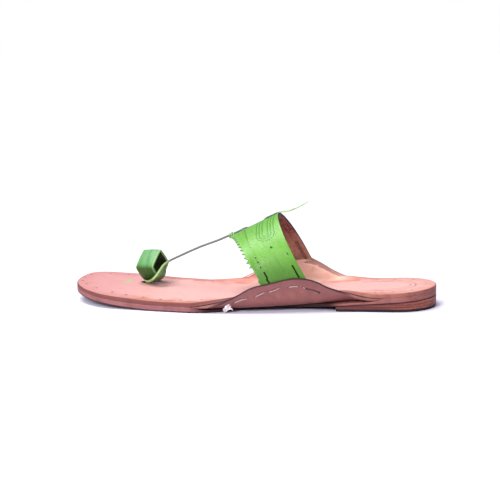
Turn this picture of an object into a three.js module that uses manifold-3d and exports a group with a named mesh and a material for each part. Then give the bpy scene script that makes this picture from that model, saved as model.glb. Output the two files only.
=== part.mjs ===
// A left kolhapuri sandal, in millimetres. Toe at -X, heel at +X, big toe side at +Y, floor at z = 0.
import * as THREE from "three";
import { mergeVertices } from "three/addons/utils/BufferGeometryUtils.js";
import Module from "manifold-3d";

const wasm = await Module();
wasm.setup();

// Sole
const LENGTH = 258;
const BALL_WIDTH = 91;
const HEEL_WIDTH = 59;
const TOE_ROUND = 45;
const TOE_ROUND_POWER = 2.6;
const HEEL_ROUND = 29.5;
const TIP_FLAT = 0.15;
const TOE_SPRING = 6.8;
const FOREFOOT_THICKNESS = 3.9;
const SHANK_THICKNESS = 4.2;
const TOE_SKIVE = 0.85;
const EDGE_BEVEL = 0.8;
const WAIST_INSET = 12;
const INSOLE_THICKNESS = 2.8;
const SEAM = 0.3;

// Heel
const HEEL_BREAST = 69;
const SEAT_FRONT_HEIGHT = 3.4;
const SEAT_BACK_HEIGHT = 7.8;
const TOP_PIECE_THICKNESS = 1.6;
const LIFT_BEVEL = 0.3;

// Side ears and the insole wings inside them
const EAR_THICKNESS = 2;
const EAR_FLANGE = 11;
const EAR_WALL_LATERAL = 11.9;
const EAR_WALL_MEDIAL = 15.5;
const EAR_LEAN_LATERAL = 4;
const EAR_LEAN_MEDIAL = 11;
const WING_DROP = 1.5;
const BEND_LENGTH = 7.5;
const LEAST_WALL = 0.4;

// Instep band
const BAND_THICKNESS = 1.8;
const BAND_FRONT_HEIGHT = 47.5;
const BAND_REAR_HEIGHT = 63.5;
const BAND_TOP_RUN = 32.6;
const BAND_FRONT_BACKSET = 113.4;
const BAND_FRONT_TILT = 41.7;
const BAND_REAR_TILT = 29.5;
const BAND_SCOOP = 5.6;
const BAND_TUCK = 7;
const TOOTH_PITCH = 3.2;
const TOOTH_DEPTH = 1.3;
const PINKED_SHARE = 0.87;
const ARCH_SHARE = 0.88;
const SLIT_WIDTH = 0.8;
const SLIT_LENGTH = 10.5;

// Toe ring
const RING_WIDTH = 13.5;
const RING_HALF_DIAGONAL = 11.8;
const RING_THICKNESS = 1.6;
const RING_TURN = 21;
const RING_BACKSET = 44.2;
const RING_OFFSET = 20;
const RING_SQUARENESS = 1.28;

// Lace
const LACE_WIDTH = 1.6;
const LACE_THICKNESS = 1.2;
const FLARE_WIDTH = 5;
const TAIL_TIP_SHARE = 0.45;

// Outline of insole and ears. at is a share of the length, lateral and medial shares of the named width.
const OUTLINE = [
  { at: 0, of: BALL_WIDTH, lateral: 0.4, medial: 0.515 },
  { at: 0.1, of: BALL_WIDTH, lateral: 0.447, medial: 0.49 },
  { at: 0.2, of: BALL_WIDTH, lateral: 0.482, medial: 0.5 },
  { at: 0.28, of: BALL_WIDTH, lateral: 0.511, medial: 0.467 },
  { at: 0.36, of: BALL_WIDTH, lateral: 0.533, medial: 0.407 },
  { at: 0.44, of: BALL_WIDTH, lateral: 0.524, medial: 0.385 },
  { at: 0.52, of: BALL_WIDTH, lateral: 0.492, medial: 0.38 },
  { at: 0.6, of: BALL_WIDTH, lateral: 0.443, medial: 0.379 },
  { at: 0.68, of: HEEL_WIDTH, lateral: 0.603, medial: 0.573 },
  { at: 0.76, of: HEEL_WIDTH, lateral: 0.536, medial: 0.542 },
  { at: 0.85, of: HEEL_WIDTH, lateral: 0.505, medial: 0.505 },
  { at: 1, of: HEEL_WIDTH, lateral: 0.478, medial: 0.51 },
];

// How far the outsole stands in under the ears, as shares of the waist inset
const WAIST = [
  { at: 0.34, lateral: 0, medial: 0 },
  { at: 0.42, lateral: 0.35, medial: 0.3 },
  { at: 0.5, lateral: 1, medial: 0.75 },
  { at: 0.6, lateral: 0.9, medial: 0.8 },
  { at: 0.68, lateral: 0.45, medial: 0.5 },
  { at: 0.76, lateral: 0, medial: 0 },
];

// How far each ear's bend has closed and how long its wall is over the bend, as shares of the full ear
const EAR_PROFILE = [
  { at: 0.345, bend: 0, lateral: 0, medial: 0 },
  { at: 0.385, bend: 0.22, lateral: 0, medial: 0 },
  { at: 0.43, bend: 0.56, lateral: 0.04, medial: 0.03 },
  { at: 0.471, bend: 0.92, lateral: 0.17, medial: 0.175 },
  { at: 0.509, bend: 1, lateral: 0.56, medial: 0.47 },
  { at: 0.56, bend: 1, lateral: 0.79, medial: 0.8 },
  { at: 0.605, bend: 1, lateral: 0.98, medial: 0.975 },
  { at: 0.63, bend: 1, lateral: 1, medial: 1 },
  { at: 0.67, bend: 1, lateral: 0.81, medial: 0.7 },
  { at: 0.713, bend: 1, lateral: 0.3, medial: 0.26 },
  { at: 0.752, bend: 0.85, lateral: 0.04, medial: 0.02 },
  { at: 0.79, bend: 0.4, lateral: 0, medial: 0 },
  { at: 0.83, bend: 0.06, lateral: 0, medial: 0 },
  { at: 0.868, bend: 0, lateral: 0, medial: 0 },
];

// Shares of the length over which the ears stand off the wings, to take the band between them
const POCKET = { front: 0.48, frontFull: 0.525, rearFull: 0.685, rear: 0.73 };

// Shares of the band's width at which a slit parts its tucked ends, and how long each slit is
const SLITS = [
  { across: 0.2, length: 0.72 },
  { across: 0.87, length: 1 },
];

const RADIAN = Math.PI / 180;
const SIDES = { lateral: -1, medial: 1 };
const EAR_WALL = { lateral: EAR_WALL_LATERAL, medial: EAR_WALL_MEDIAL };
const EAR_BEND = { lateral: (90 - EAR_LEAN_LATERAL) * RADIAN, medial: (90 - EAR_LEAN_MEDIAL) * RADIAN };
const EAR_STEP = INSOLE_THICKNESS / 2 + SEAM + EAR_THICKNESS / 2;
const POCKET_ROOM = BAND_THICKNESS + SEAM;
const BREAST_AT = 1 - HEEL_BREAST / LENGTH;
const CONTACT = { front: 0.25, rear: 0.375 };
const TOE_SKIVE_END = 0.15;
const SHANK_FULL = 0.6;
const EAR_ENDS = { front: EAR_PROFILE[0].at, rear: EAR_PROFILE[EAR_PROFILE.length - 1].at };

const xOf = (at) => (at - 0.5) * LENGTH;
const atOf = (x) => x / LENGTH + 0.5;
const ease = (t) => t * t * (3 - 2 * t);
const clamp01 = (t) => Math.min(1, Math.max(0, t));

/** Smooth reading of one column of a table, held at its first and last rows */
function read(table, value, at) {
  const last = table.length - 1;
  if (at <= table[0].at) return value(table[0]);
  if (at >= table[last].at) return value(table[last]);
  const k = table.findIndex((row) => row.at > at) - 1;
  const slope = (a, b) => (value(table[b]) - value(table[a])) / (table[b].at - table[a].at);
  const tangent = (n) => (n === 0 || n === last ? 0 : (slope(n - 1, n) + slope(n, n + 1)) / 2);
  const span = table[k + 1].at - table[k].at;
  const t = (at - table[k].at) / span;
  const [v0, v1] = [value(table[k]), value(table[k + 1])];
  return (
    v0 * (1 + 2 * t) * (1 - t) ** 2 +
    tangent(k) * span * t * (1 - t) ** 2 +
    v1 * t * t * (3 - 2 * t) +
    tangent(k + 1) * span * t * t * (t - 1)
  );
}

/** Share of the full width left where the toe and the heel are rounded off */
function rounding(at) {
  const toe = clamp01(1 - (at * LENGTH + TIP_FLAT) / TOE_ROUND);
  const heel = clamp01(1 - ((1 - at) * LENGTH + TIP_FLAT) / HEEL_ROUND);
  return (1 - toe ** TOE_ROUND_POWER) ** (1 / TOE_ROUND_POWER) * Math.sqrt(1 - heel * heel);
}

/** Y of the outline on one side, with the toe and heel rounded about their own middle */
function edgeY(side, at) {
  const lateral = -read(OUTLINE, (row) => row.of * row.lateral, at);
  const medial = read(OUTLINE, (row) => row.of * row.medial, at);
  const middle = (lateral + medial) / 2;
  return middle + SIDES[side] * ((medial - lateral) / 2) * rounding(at);
}

const outsoleEdgeY = (side, at) =>
  edgeY(side, at) - SIDES[side] * WAIST_INSET * read(WAIST, (row) => row[side], at);

/** Height of the outsole's underside: toe spring, flat ball, arched shank, sloping heel seat */
function underside(at) {
  if (at < CONTACT.front) return TOE_SPRING * ((CONTACT.front - at) / CONTACT.front) ** 1.5;
  if (at < CONTACT.rear) return 0;
  if (at < BREAST_AT) return SEAT_FRONT_HEIGHT * ((at - CONTACT.rear) / (BREAST_AT - CONTACT.rear)) ** 1.6;
  return SEAT_FRONT_HEIGHT + ((SEAT_BACK_HEIGHT - SEAT_FRONT_HEIGHT) * (at - BREAST_AT)) / (1 - BREAST_AT);
}

const toeSkive = (at) => 1 - (1 - TOE_SKIVE) * clamp01(1 - at / TOE_SKIVE_END);
const outsoleTop = (at) => {
  const towardShank = ease(clamp01((at - CONTACT.rear) / (SHANK_FULL - CONTACT.rear)));
  const thickness = FOREFOOT_THICKNESS + (SHANK_THICKNESS - FOREFOOT_THICKNESS) * towardShank;
  return underside(at) + thickness * toeSkive(at);
};
const insoleThickness = (at) => INSOLE_THICKNESS * toeSkive(at);
const insoleMiddle = (at) => outsoleTop(at) + SEAM + insoleThickness(at) / 2;
const insoleTop = (at) => insoleMiddle(at) + insoleThickness(at) / 2;

/** How far the ears stand off the wings at one station */
function pocketAt(at) {
  const front = ease(clamp01((at - POCKET.front) / (POCKET.frontFull - POCKET.front)));
  const rear = ease(clamp01((POCKET.rear - at) / (POCKET.rear - POCKET.rearFull)));
  return POCKET_ROOM * Math.min(front, rear);
}

/**
 * The bend that wing and ear share at one station: its angle, the insole's own bend radius, and the
 * distance of the bend's start from the middle line for the wing.
 */
function bendAt(side, at) {
  const angle = Math.max(0.002, EAR_BEND[side] * read(EAR_PROFILE, (row) => row.bend, at));
  const radius = BEND_LENGTH / angle;
  const reach = (radius + EAR_STEP + EAR_THICKNESS / 2) * Math.sin(angle) + LEAST_WALL * Math.cos(angle);
  const inEars = at > EAR_ENDS.front && at < EAR_ENDS.rear;
  return { angle, radius, start: Math.abs(edgeY(side, at)) - reach - (inEars ? pocketAt(at) : 0) };
}

/** Straight length of an ear's wall over its bend */
const earWall = (side, at) =>
  LEAST_WALL + (EAR_WALL[side] - LEAST_WALL) * read(EAR_PROFILE, (row) => row[side], at);

/** Height of an ear's top edge */
function earTop(side, at) {
  const { angle, radius } = bendAt(side, at);
  const bendRise = (radius + EAR_STEP) * (1 - Math.cos(angle));
  return insoleMiddle(at) - EAR_STEP + bendRise + earWall(side, at) * Math.sin(angle);
}

/** Straight length of a wing over its bend, which leaves the ear's edge standing a little higher */
function wingWall(side, at) {
  const { angle, radius } = bendAt(side, at);
  const rise = earTop(side, at) - WING_DROP - insoleMiddle(at) - radius * (1 - Math.cos(angle));
  return Math.max(LEAST_WALL, rise / Math.sin(angle));
}

/** Point and outward normal of a bent sheet, at a share of its bend and a length up its wall */
function bentSheet(side, start, base, radius, angle, share, wall) {
  const turn = angle * share;
  const y = start + radius * Math.sin(turn) + wall * Math.cos(angle);
  const z = base + radius * (1 - Math.cos(turn)) + wall * Math.sin(angle);
  return { y: SIDES[side] * y, z, ny: SIDES[side] * Math.sin(turn), nz: -Math.cos(turn) };
}

/** Closed solid between an upper and a lower grid of points */
function slab(rows, columns, upper, lower) {
  const points = [];
  for (const face of [upper, lower]) {
    for (let i = 0; i < rows; i += 1) {
      for (let j = 0; j < columns; j += 1) points.push(...face(i, j));
    }
  }
  const index = [];
  const id = (face, i, j) => (face * rows + i) * columns + j;
  const quad = (a, b, c, d) => index.push(a, b, c, a, c, d);
  for (let i = 0; i < rows - 1; i += 1) {
    for (let j = 0; j < columns - 1; j += 1) {
      quad(id(0, i, j), id(0, i + 1, j), id(0, i + 1, j + 1), id(0, i, j + 1));
      quad(id(1, i, j), id(1, i, j + 1), id(1, i + 1, j + 1), id(1, i + 1, j));
    }
    const far = columns - 1;
    quad(id(0, i, 0), id(1, i, 0), id(1, i + 1, 0), id(0, i + 1, 0));
    quad(id(0, i + 1, far), id(1, i + 1, far), id(1, i, far), id(0, i, far));
  }
  for (let j = 0; j < columns - 1; j += 1) {
    const end = rows - 1;
    quad(id(0, 0, j + 1), id(1, 0, j + 1), id(1, 0, j), id(0, 0, j));
    quad(id(0, end, j), id(1, end, j), id(1, end, j + 1), id(0, end, j + 1));
  }
  return facingOut(points, index);
}

/** Geometry whose faces all point out, whichever way its grid ran */
function facingOut(points, index) {
  const corner = (n) => new THREE.Vector3().fromArray(points, 3 * index[n]);
  let volume = 0;
  for (let n = 0; n < index.length; n += 3) {
    volume += corner(n).dot(corner(n + 1).cross(corner(n + 2)));
  }
  const order = volume < 0 ? index.slice().reverse() : index;
  const geometry = new THREE.BufferGeometry();
  geometry.setAttribute("position", new THREE.Float32BufferAttribute(points, 3));
  geometry.setIndex(order);
  geometry.computeVertexNormals();
  return geometry;
}

function toSolid(geometry) {
  const bare = geometry.clone();
  bare.deleteAttribute("normal");
  bare.deleteAttribute("uv");
  const merged = mergeVertices(bare);
  return new wasm.Manifold(
    new wasm.Mesh({
      numProp: 3,
      vertProperties: merged.getAttribute("position").array,
      triVerts: new Uint32Array(merged.getIndex().array),
    }),
  );
}

function toGeometry(solid) {
  const mesh = solid.getMesh();
  return facingOut(Array.from(mesh.vertProperties), Array.from(mesh.triVerts));
}

/** Stations along the sole: by angle round the toe and the heel, evenly between them */
function soleStations() {
  const round = (length, steps) =>
    Array.from({ length: steps }, (_, i) => (length * (1 - Math.cos((i / steps) * 90 * RADIAN))) / LENGTH);
  const toeEnd = TOE_ROUND / LENGTH;
  const heelEnd = 1 - HEEL_ROUND / LENGTH;
  const evenSteps = 43;
  const even = Array.from({ length: evenSteps + 1 }, (_, i) => toeEnd + ((heelEnd - toeEnd) * i) / evenSteps);
  const heel = round(HEEL_ROUND, 8).map((share) => 1 - share);
  return [...round(TOE_ROUND, 9), ...even, ...heel.reverse()];
}
const STATIONS = soleStations();

/** A layer of the sole with a small bevel along its lower edge */
function soleLayer(stations, edge, top, bottom, bevel) {
  const shares = [0, 0.5, 1];
  const across = (at, inset, share) => {
    const lateral = edge("lateral", at) + inset;
    const medial = edge("medial", at) - inset;
    return lateral + (medial - lateral) * share;
  };
  const half = (at) => (edge("medial", at) - edge("lateral", at)) / 2;
  const columns = shares.length + 2;
  const share = (j) => shares[Math.min(shares.length - 1, Math.max(0, j - 1))];
  const cut = (at) => Math.min(bevel, half(at) / 3);
  const isEdge = (j) => j === 0 || j === columns - 1;
  return slab(
    stations.length,
    columns,
    (i, j) => {
      const at = stations[i];
      const inset = isEdge(j) ? 0 : cut(at);
      return [xOf(at), across(at, inset, share(j)), top(at)];
    },
    (i, j) => {
      const at = stations[i];
      const inset = isEdge(j) ? 0 : cut(at);
      return [xOf(at), across(at, inset, share(j)), bottom(at) + (isEdge(j) ? cut(at) : 0)];
    },
  );
}

function outsole() {
  let body = toSolid(soleLayer(STATIONS, outsoleEdgeY, outsoleTop, underside, EDGE_BEVEL));
  for (const side of Object.keys(SIDES)) body = body.subtract(toSolid(flangeRecess(side)));
  return toGeometry(body);
}

/** Room skived out of the outsole for the flange of one ear, open to the side */
function flangeRecess(side) {
  const stations = earStations();
  const margin = (2 * SEAM) / LENGTH;
  const grown = [stations[0] - margin, ...stations, stations[stations.length - 1] + margin];
  const inner = (at) => flangeInner(side, at) - 2 * SEAM;
  const outer = (at) => Math.abs(edgeY(side, at)) + 1;
  const y = (at, j) => SIDES[side] * (j === 0 ? inner(at) : outer(at));
  const floor = (at) => insoleMiddle(at) - EAR_STEP - EAR_THICKNESS / 2 - SEAM;
  return slab(
    grown.length,
    2,
    (i, j) => [xOf(grown[i]), y(grown[i], j), outsoleTop(grown[i]) + 1],
    (i, j) => [xOf(grown[i]), y(grown[i], j), floor(grown[i])],
  );
}

/** The insole: one sheet whose sides turn up at the waist as wings that line the ears */
function insole() {
  const bendShares = [0, 0.25, 0.5, 0.75, 1];
  const perSide = bendShares.length + 1;
  const columns = 2 * perSide + 1;
  const point = (at, j, face) => {
    const step = j - perSide;
    const offset = (face * insoleThickness(at)) / 2;
    if (step === 0) return [xOf(at), (edgeY("lateral", at) + edgeY("medial", at)) / 2, insoleMiddle(at) - offset];
    const side = step < 0 ? "lateral" : "medial";
    const { angle, radius, start } = bendAt(side, at);
    const count = Math.abs(step) - 1;
    const isTop = count === bendShares.length;
    const wall = isTop ? wingWall(side, at) : 0;
    const share = isTop ? 1 : bendShares[count];
    const p = bentSheet(side, start, insoleMiddle(at), radius, angle, share, wall);
    return [xOf(at), p.y + p.ny * offset, p.z + p.nz * offset];
  };
  // Near the round tips the sheet is narrower than its bends, so its columns close up evenly
  const narrow = (at, j, face) => {
    const room = Math.min(bendAt("lateral", at).start, bendAt("medial", at).start);
    if (room > 1) return point(at, j, face);
    const share = j / (columns - 1);
    const y = edgeY("lateral", at) * (1 - share) + edgeY("medial", at) * share;
    return [xOf(at), y, insoleMiddle(at) + (-face * insoleThickness(at)) / 2];
  };
  return slab(
    STATIONS.length,
    columns,
    (i, j) => narrow(STATIONS[i], j, -1),
    (i, j) => narrow(STATIONS[i], j, 1),
  );
}

const earStations = () => STATIONS.filter((at) => at > EAR_ENDS.front && at < EAR_ENDS.rear);

/** Distance from the middle line of the inner end of an ear's flange */
function flangeInner(side, at) {
  const along = (at - EAR_ENDS.front) / (EAR_ENDS.rear - EAR_ENDS.front);
  const width = EAR_FLANGE * (0.35 + 0.65 * Math.sin(Math.PI * clamp01(along)) ** 0.5);
  const { start } = bendAt(side, at);
  return start + pocketAt(at) - width;
}

/** A side ear: a flange under the insole, a bend, and a wall that rises outside the wing */
function ear(side) {
  const stations = earStations();
  const bendShares = [0, 0.25, 0.5, 0.75, 1];
  const columns = bendShares.length + 3;
  const point = (at, j, face) => {
    const { angle, radius, start } = bendAt(side, at);
    const ownRadius = radius + EAR_STEP;
    const ownStart = start + pocketAt(at);
    const base = insoleMiddle(at) - EAR_STEP;
    const offset = (face * EAR_THICKNESS) / 2;
    if (j === 0) return [xOf(at), SIDES[side] * flangeInner(side, at), base - offset];
    const count = j - 1;
    const wall = ([0.5, 1][count - bendShares.length] ?? 0) * earWall(side, at);
    const p = bentSheet(side, ownStart, base, ownRadius, angle, bendShares[count] ?? 1, wall);
    return [xOf(at), p.y + p.ny * offset, p.z + p.nz * offset];
  };
  return slab(
    stations.length,
    columns,
    (i, j) => point(stations[i], j, -1),
    (i, j) => point(stations[i], j, 1),
  );
}

const heelEdgeY = (inset) => (side, at) => outsoleEdgeY(side, at) - SIDES[side] * inset;
const heelStations = () => [BREAST_AT, ...STATIONS.filter((at) => at > BREAST_AT + 1 / LENGTH)];

function heelLift() {
  const top = (at) => underside(at) - SEAM;
  const bottom = () => TOP_PIECE_THICKNESS + SEAM;
  return soleLayer(heelStations(), heelEdgeY(0), top, bottom, LIFT_BEVEL);
}

function heelTopPiece() {
  return soleLayer(heelStations(), heelEdgeY(LIFT_BEVEL), () => TOP_PIECE_THICKNESS, () => 0, LIFT_BEVEL);
}

// The band: rails from its front edge to its rear edge, each an arch with straight legs

/** Crest point and downward direction, in X and Z, at a share of the band's width */
function bandRail(across) {
  const tilt = (BAND_FRONT_TILT + (BAND_REAR_TILT - BAND_FRONT_TILT) * across) * RADIAN;
  const x = BAND_FRONT_BACKSET - LENGTH / 2 + BAND_TOP_RUN * across;
  const z = BAND_FRONT_HEIGHT + (BAND_REAR_HEIGHT - BAND_FRONT_HEIGHT) * across;
  const rise = Math.atan2(BAND_REAR_HEIGHT - BAND_FRONT_HEIGHT, BAND_TOP_RUN);
  const half = BAND_THICKNESS / 2;
  return {
    crestX: x + half * Math.sin(rise),
    crestZ: z - half * Math.cos(rise),
    downX: Math.sin(tilt),
    downZ: -Math.cos(tilt),
  };
}

/** Distance from the middle line of the band's middle surface where it lies between wing and ear */
function pocketY(side, x, z) {
  const at = atOf(x);
  const { angle, radius, start } = bendAt(side, at);
  const base = insoleMiddle(at);
  const bendTop = base + radius * (1 - Math.cos(angle));
  const height = Math.min(z, earTop(side, at)) - bendTop;
  const wallY = start + radius * Math.sin(angle) + height / Math.tan(angle);
  return wallY + (INSOLE_THICKNESS / 2 + SEAM + BAND_THICKNESS / 2) / Math.sin(angle);
}

/** Distance down a rail at which it passes an ear's top edge */
function dropToEar(side, rail) {
  let drop = BAND_FRONT_HEIGHT / 2;
  for (let n = 0; n < 40; n += 1) {
    const x = rail.crestX + drop * rail.downX;
    drop += (rail.crestZ + drop * rail.downZ - earTop(side, atOf(x))) / 2;
  }
  return drop;
}

/** Point on the band's middle surface: along runs from the crest (0) round the arch (1) and down a leg (2) */
function bandPoint(side, across, along) {
  const rail = bandRail(across);
  const toEar = dropToEar(side, rail);
  const arch = ARCH_SHARE * toEar;
  const turn = Math.min(1, along) * 90 * RADIAN;
  const leg = Math.max(0, along - 1) * (toEar + BAND_TUCK - arch);
  const drop = arch * (1 - Math.cos(turn)) + leg;
  const x = rail.crestX + drop * rail.downX;
  const z = rail.crestZ + drop * rail.downZ;
  return new THREE.Vector3(x, SIDES[side] * pocketY(side, x, z) * Math.sin(turn), z);
}

/** The same by one signed share: -2 at the lateral end, 0 at the crest, 2 at the medial end */
const bandAt = (across, signed) => bandPoint(signed < 0 ? "lateral" : "medial", across, Math.abs(signed));

function bandNormal(across, signed) {
  const step = 0.01;
  const alongArch = bandAt(across, Math.min(2, signed + step)).sub(bandAt(across, Math.max(-2, signed - step)));
  const acrossBand = bandAt(Math.min(1, across + step), signed).sub(bandAt(Math.max(0, across - step), signed));
  return acrossBand.cross(alongArch).normalize();
}

/** Share of the band's width by which its front edge is scooped back on either side of the crest */
function scoopAt(signed) {
  const share = clamp01(Math.abs(signed) / 1.15);
  const width = Math.hypot(BAND_TOP_RUN, BAND_REAR_HEIGHT - BAND_FRONT_HEIGHT);
  return (BAND_SCOOP / width) * Math.sin(Math.PI * share ** 0.78);
}

/** Signed shares whose points lie a half tooth apart along the front edge */
function bandSteps(side) {
  const shares = [0];
  const fine = 600;
  let walked = 0;
  for (let n = 1; n <= fine; n += 1) {
    const share = (2 * n) / fine;
    walked += bandPoint(side, 0, share).distanceTo(bandPoint(side, 0, share - 2 / fine));
    if (walked >= TOOTH_PITCH / 2) {
      shares.push(share);
      walked = 0;
    }
  }
  shares[shares.length - 1] = 2;
  return shares.map((share) => SIDES[side] * share);
}

function instepBand() {
  const lateral = bandSteps("lateral").slice(1).reverse();
  const steps = [...lateral, ...bandSteps("medial")];
  const crest = lateral.length;
  const columnsAcross = [0, 0.08, 0.36, 0.68, 1];
  const point = (i, j, face) => {
    const signed = steps[j];
    const scoop = scoopAt(signed);
    const across = scoop + (1 - scoop) * columnsAcross[i];
    const normal = bandNormal(across, signed);
    const p = bandAt(across, signed).addScaledVector(normal, (face * BAND_THICKNESS) / 2);
    const toothed = i === 0 && Math.abs(j - crest) % 2 === 1 && Math.abs(signed) < PINKED_SHARE;
    if (toothed) p.add(bandAt(across, signed).sub(bandAt(across + 0.1, signed)).setLength(TOOTH_DEPTH));
    return p.toArray();
  };
  const sheet = slab(
    columnsAcross.length,
    steps.length,
    (i, j) => point(i, j, 1),
    (i, j) => point(i, j, -1),
  );
  let band = toSolid(sheet);
  for (const side of Object.keys(SIDES)) {
    for (const { across, length } of SLITS) band = band.subtract(toSolid(slitCutter(side, across, length)));
  }
  return toGeometry(band);
}

/** Thin block that parts two tucked tabs, from above the ear down past the tab ends */
function slitCutter(side, across, length) {
  const rail = bandRail(across);
  const toEar = dropToEar(side, rail);
  const from = toEar - SLIT_LENGTH * length;
  const to = toEar + 2 * BAND_TUCK;
  const block = new THREE.BoxGeometry(SLIT_WIDTH, 8 * BAND_THICKNESS, to - from);
  const drop = (from + to) / 2;
  const x = rail.crestX + drop * rail.downX;
  const z = rail.crestZ + drop * rail.downZ;
  block.rotateY(Math.atan2(rail.downX, rail.downZ));
  block.translate(x, SIDES[side] * pocketY(side, x, z), z);
  return block;
}

/** The toe ring: a strip bent into a square that stands on one corner, with soft corners */
function toeRing() {
  const outline = (half) =>
    Array.from({ length: 40 }, (_, n) => {
      const turn = (n / 40) * 2 * Math.PI;
      const power = 2 / RING_SQUARENESS;
      const soften = (v) => Math.sign(v) * Math.abs(v) ** power;
      return new THREE.Vector2(half * soften(Math.cos(turn)), half * soften(Math.sin(turn)));
    });
  const shape = new THREE.Shape(outline(RING_HALF_DIAGONAL));
  const wallAcross = RING_THICKNESS * Math.SQRT2;
  shape.holes.push(new THREE.Path(outline(RING_HALF_DIAGONAL - wallAcross)));
  const strip = new THREE.ExtrudeGeometry(shape, { depth: RING_WIDTH, bevelEnabled: false });
  strip.rotateX(90 * RADIAN);
  strip.rotateZ(90 * RADIAN);
  return strip;
}

/** Height of the ring's middle, so that its lowest corner just clears the insole at its toe end */
const ringSeat = () => insoleTop(RING_BACKSET / LENGTH) + SEAM + RING_HALF_DIAGONAL;

// Route of the lace from the insole past the ring and up to the band. flare is how far it has widened
// from its own width toward the flare width.
const LACE_RISE = [
  { x: -82, y: 14.2, z: 9.1, flare: 0 },
  { x: -79, y: 9.8, z: 10, flare: 0 },
  { x: -75.5, y: 6, z: 12.2, flare: 0.3 },
  { x: -72.6, y: 5.2, z: 15.2, flare: 1 },
  { x: -70.6, y: 8, z: 18.4, flare: 0.9 },
  { x: -68.4, y: 11.6, z: 21.8, flare: 0.4 },
  { x: -65.2, y: 13.4, z: 24.4, flare: 0 },
  { x: -56.2, y: 11.2, z: 29.3, flare: 0 },
  { x: -40.8, y: 6.8, z: 37, flare: 0 },
  { x: -26, y: 2.6, z: 43.3, flare: 0 },
];

// Free end of the lace behind the band
const LACE_TAIL = [
  { x: 25.2, y: 0, z: 66 },
  { x: 32.2, y: 0, z: 69.1 },
  { x: 37.9, y: 0, z: 72.4 },
];

/** Points over the band's crest, clear of it by the seam */
function laceOverBand() {
  return [0, 0.25, 0.5, 0.75, 1].map((across) => {
    const lift = BAND_THICKNESS / 2 + SEAM + LACE_THICKNESS / 2;
    return bandAt(across, 0).addScaledVector(bandNormal(across, 0), lift);
  });
}

/** A flat strip along a curve, facing a given way, with its width and thickness read along it */
function strip(points, count, facing, widthAt, thicknessAt) {
  const curve = new THREE.CatmullRomCurve3(points, false, "centripetal");
  const rows = Array.from({ length: count + 1 }, (_, n) => n / count);
  const frame = (share) => {
    const tangent = curve.getTangentAt(share);
    const normal = facing(share).clone();
    normal.addScaledVector(tangent, -normal.dot(tangent)).normalize();
    return { centre: curve.getPointAt(share), normal, aside: tangent.clone().cross(normal) };
  };
  const corner = (i, j, face) => {
    const { centre, normal, aside } = frame(rows[i]);
    const sideways = (j - 0.5) * widthAt(rows[i]);
    return centre
      .addScaledVector(aside, sideways)
      .addScaledVector(normal, (face * thicknessAt(rows[i])) / 2)
      .toArray();
  };
  return slab(rows.length, 2, (i, j) => corner(i, j, 1), (i, j) => corner(i, j, -1));
}

function toeLace() {
  const rise = LACE_RISE.map(({ x, y, z }) => new THREE.Vector3(x, y, z));
  const over = laceOverBand();
  const facing = (share) => {
    const turn = ease(clamp01((share - 0.2) / 0.3));
    return new THREE.Vector3(0, -0.9 * (1 - turn), 0.35 + 0.65 * turn);
  };
  const curve = new THREE.CatmullRomCurve3([...rise, ...over], false, "centripetal");
  const marks = LACE_RISE.map((row, n) => ({ at: nearestShare(curve, rise[n]), flare: row.flare }));
  const widthAt = (share) => LACE_WIDTH + (FLARE_WIDTH - LACE_WIDTH) * read(marks, (row) => row.flare, share);
  return strip([...rise, ...over], 56, facing, widthAt, () => LACE_THICKNESS);
}

/** Share of a curve's length at which it passes closest to a point */
function nearestShare(curve, target) {
  const count = 400;
  let best = 0;
  for (let n = 0; n <= count; n += 1) {
    const closer =
      curve.getPointAt(n / count).distanceTo(target) < curve.getPointAt(best).distanceTo(target);
    if (closer) best = n / count;
  }
  return best;
}

function laceTail() {
  const points = LACE_TAIL.map(({ x, y, z }) => new THREE.Vector3(x, y, z));
  const last = laceOverBand().at(-1);
  const ahead = points[0].clone().sub(last).setLength(SEAM);
  const taper = (share) => 1 - (1 - TAIL_TIP_SHARE) * share;
  const up = () => new THREE.Vector3(0, 0, 1);
  return strip(
    [last.add(ahead), ...points],
    12,
    up,
    (share) => LACE_WIDTH * taper(share),
    (share) => LACE_THICKNESS * taper(share),
  );
}

const tan = new THREE.MeshStandardMaterial({ color: "#e7b7a2", roughness: 0.62, metalness: 0 });
const edgeTan = new THREE.MeshStandardMaterial({ color: "#a5695f", roughness: 0.7, metalness: 0 });
const redBrown = new THREE.MeshStandardMaterial({ color: "#8c4a3c", roughness: 0.72, metalness: 0 });
const darkSole = new THREE.MeshStandardMaterial({ color: "#2b1c1c", roughness: 0.8, metalness: 0 });
const lime = new THREE.MeshStandardMaterial({ color: "#7cc83f", roughness: 0.42, metalness: 0 });
const glossGreen = new THREE.MeshStandardMaterial({ color: "#2f7a3a", roughness: 0.18, metalness: 0 });
const laceGreen = new THREE.MeshStandardMaterial({ color: "#6c8560", roughness: 0.55, metalness: 0 });

function piece(name, geometry, material) {
  const mesh = new THREE.Mesh(geometry, material);
  mesh.name = name;
  return mesh;
}

const sandal = new THREE.Group();
sandal.add(piece("outsole", outsole(), edgeTan.clone()));
sandal.add(piece("heel_lift", heelLift(), redBrown));
sandal.add(piece("heel_top_piece", heelTopPiece(), darkSole));
sandal.add(piece("insole", insole(), tan));
sandal.add(piece("ear_lateral", ear("lateral"), edgeTan.clone()));
sandal.add(piece("ear_medial", ear("medial"), edgeTan.clone()));
sandal.add(piece("instep_band", instepBand(), lime));

const ring = piece("toe_ring", toeRing(), glossGreen);
ring.position.set(RING_BACKSET - LENGTH / 2, RING_OFFSET, ringSeat());
ring.rotation.z = -RING_TURN * RADIAN;
sandal.add(ring);
sandal.add(piece("toe_lace", toeLace(), laceGreen));

// The middle of the sandal's width, free lace end left out, lies at y = 0
const box = new THREE.Box3().setFromObject(sandal);
sandal.add(piece("lace_tail", laceTail(), laceGreen.clone()));
sandal.position.y = -(box.min.y + box.max.y) / 2;

export default sandal;
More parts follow.
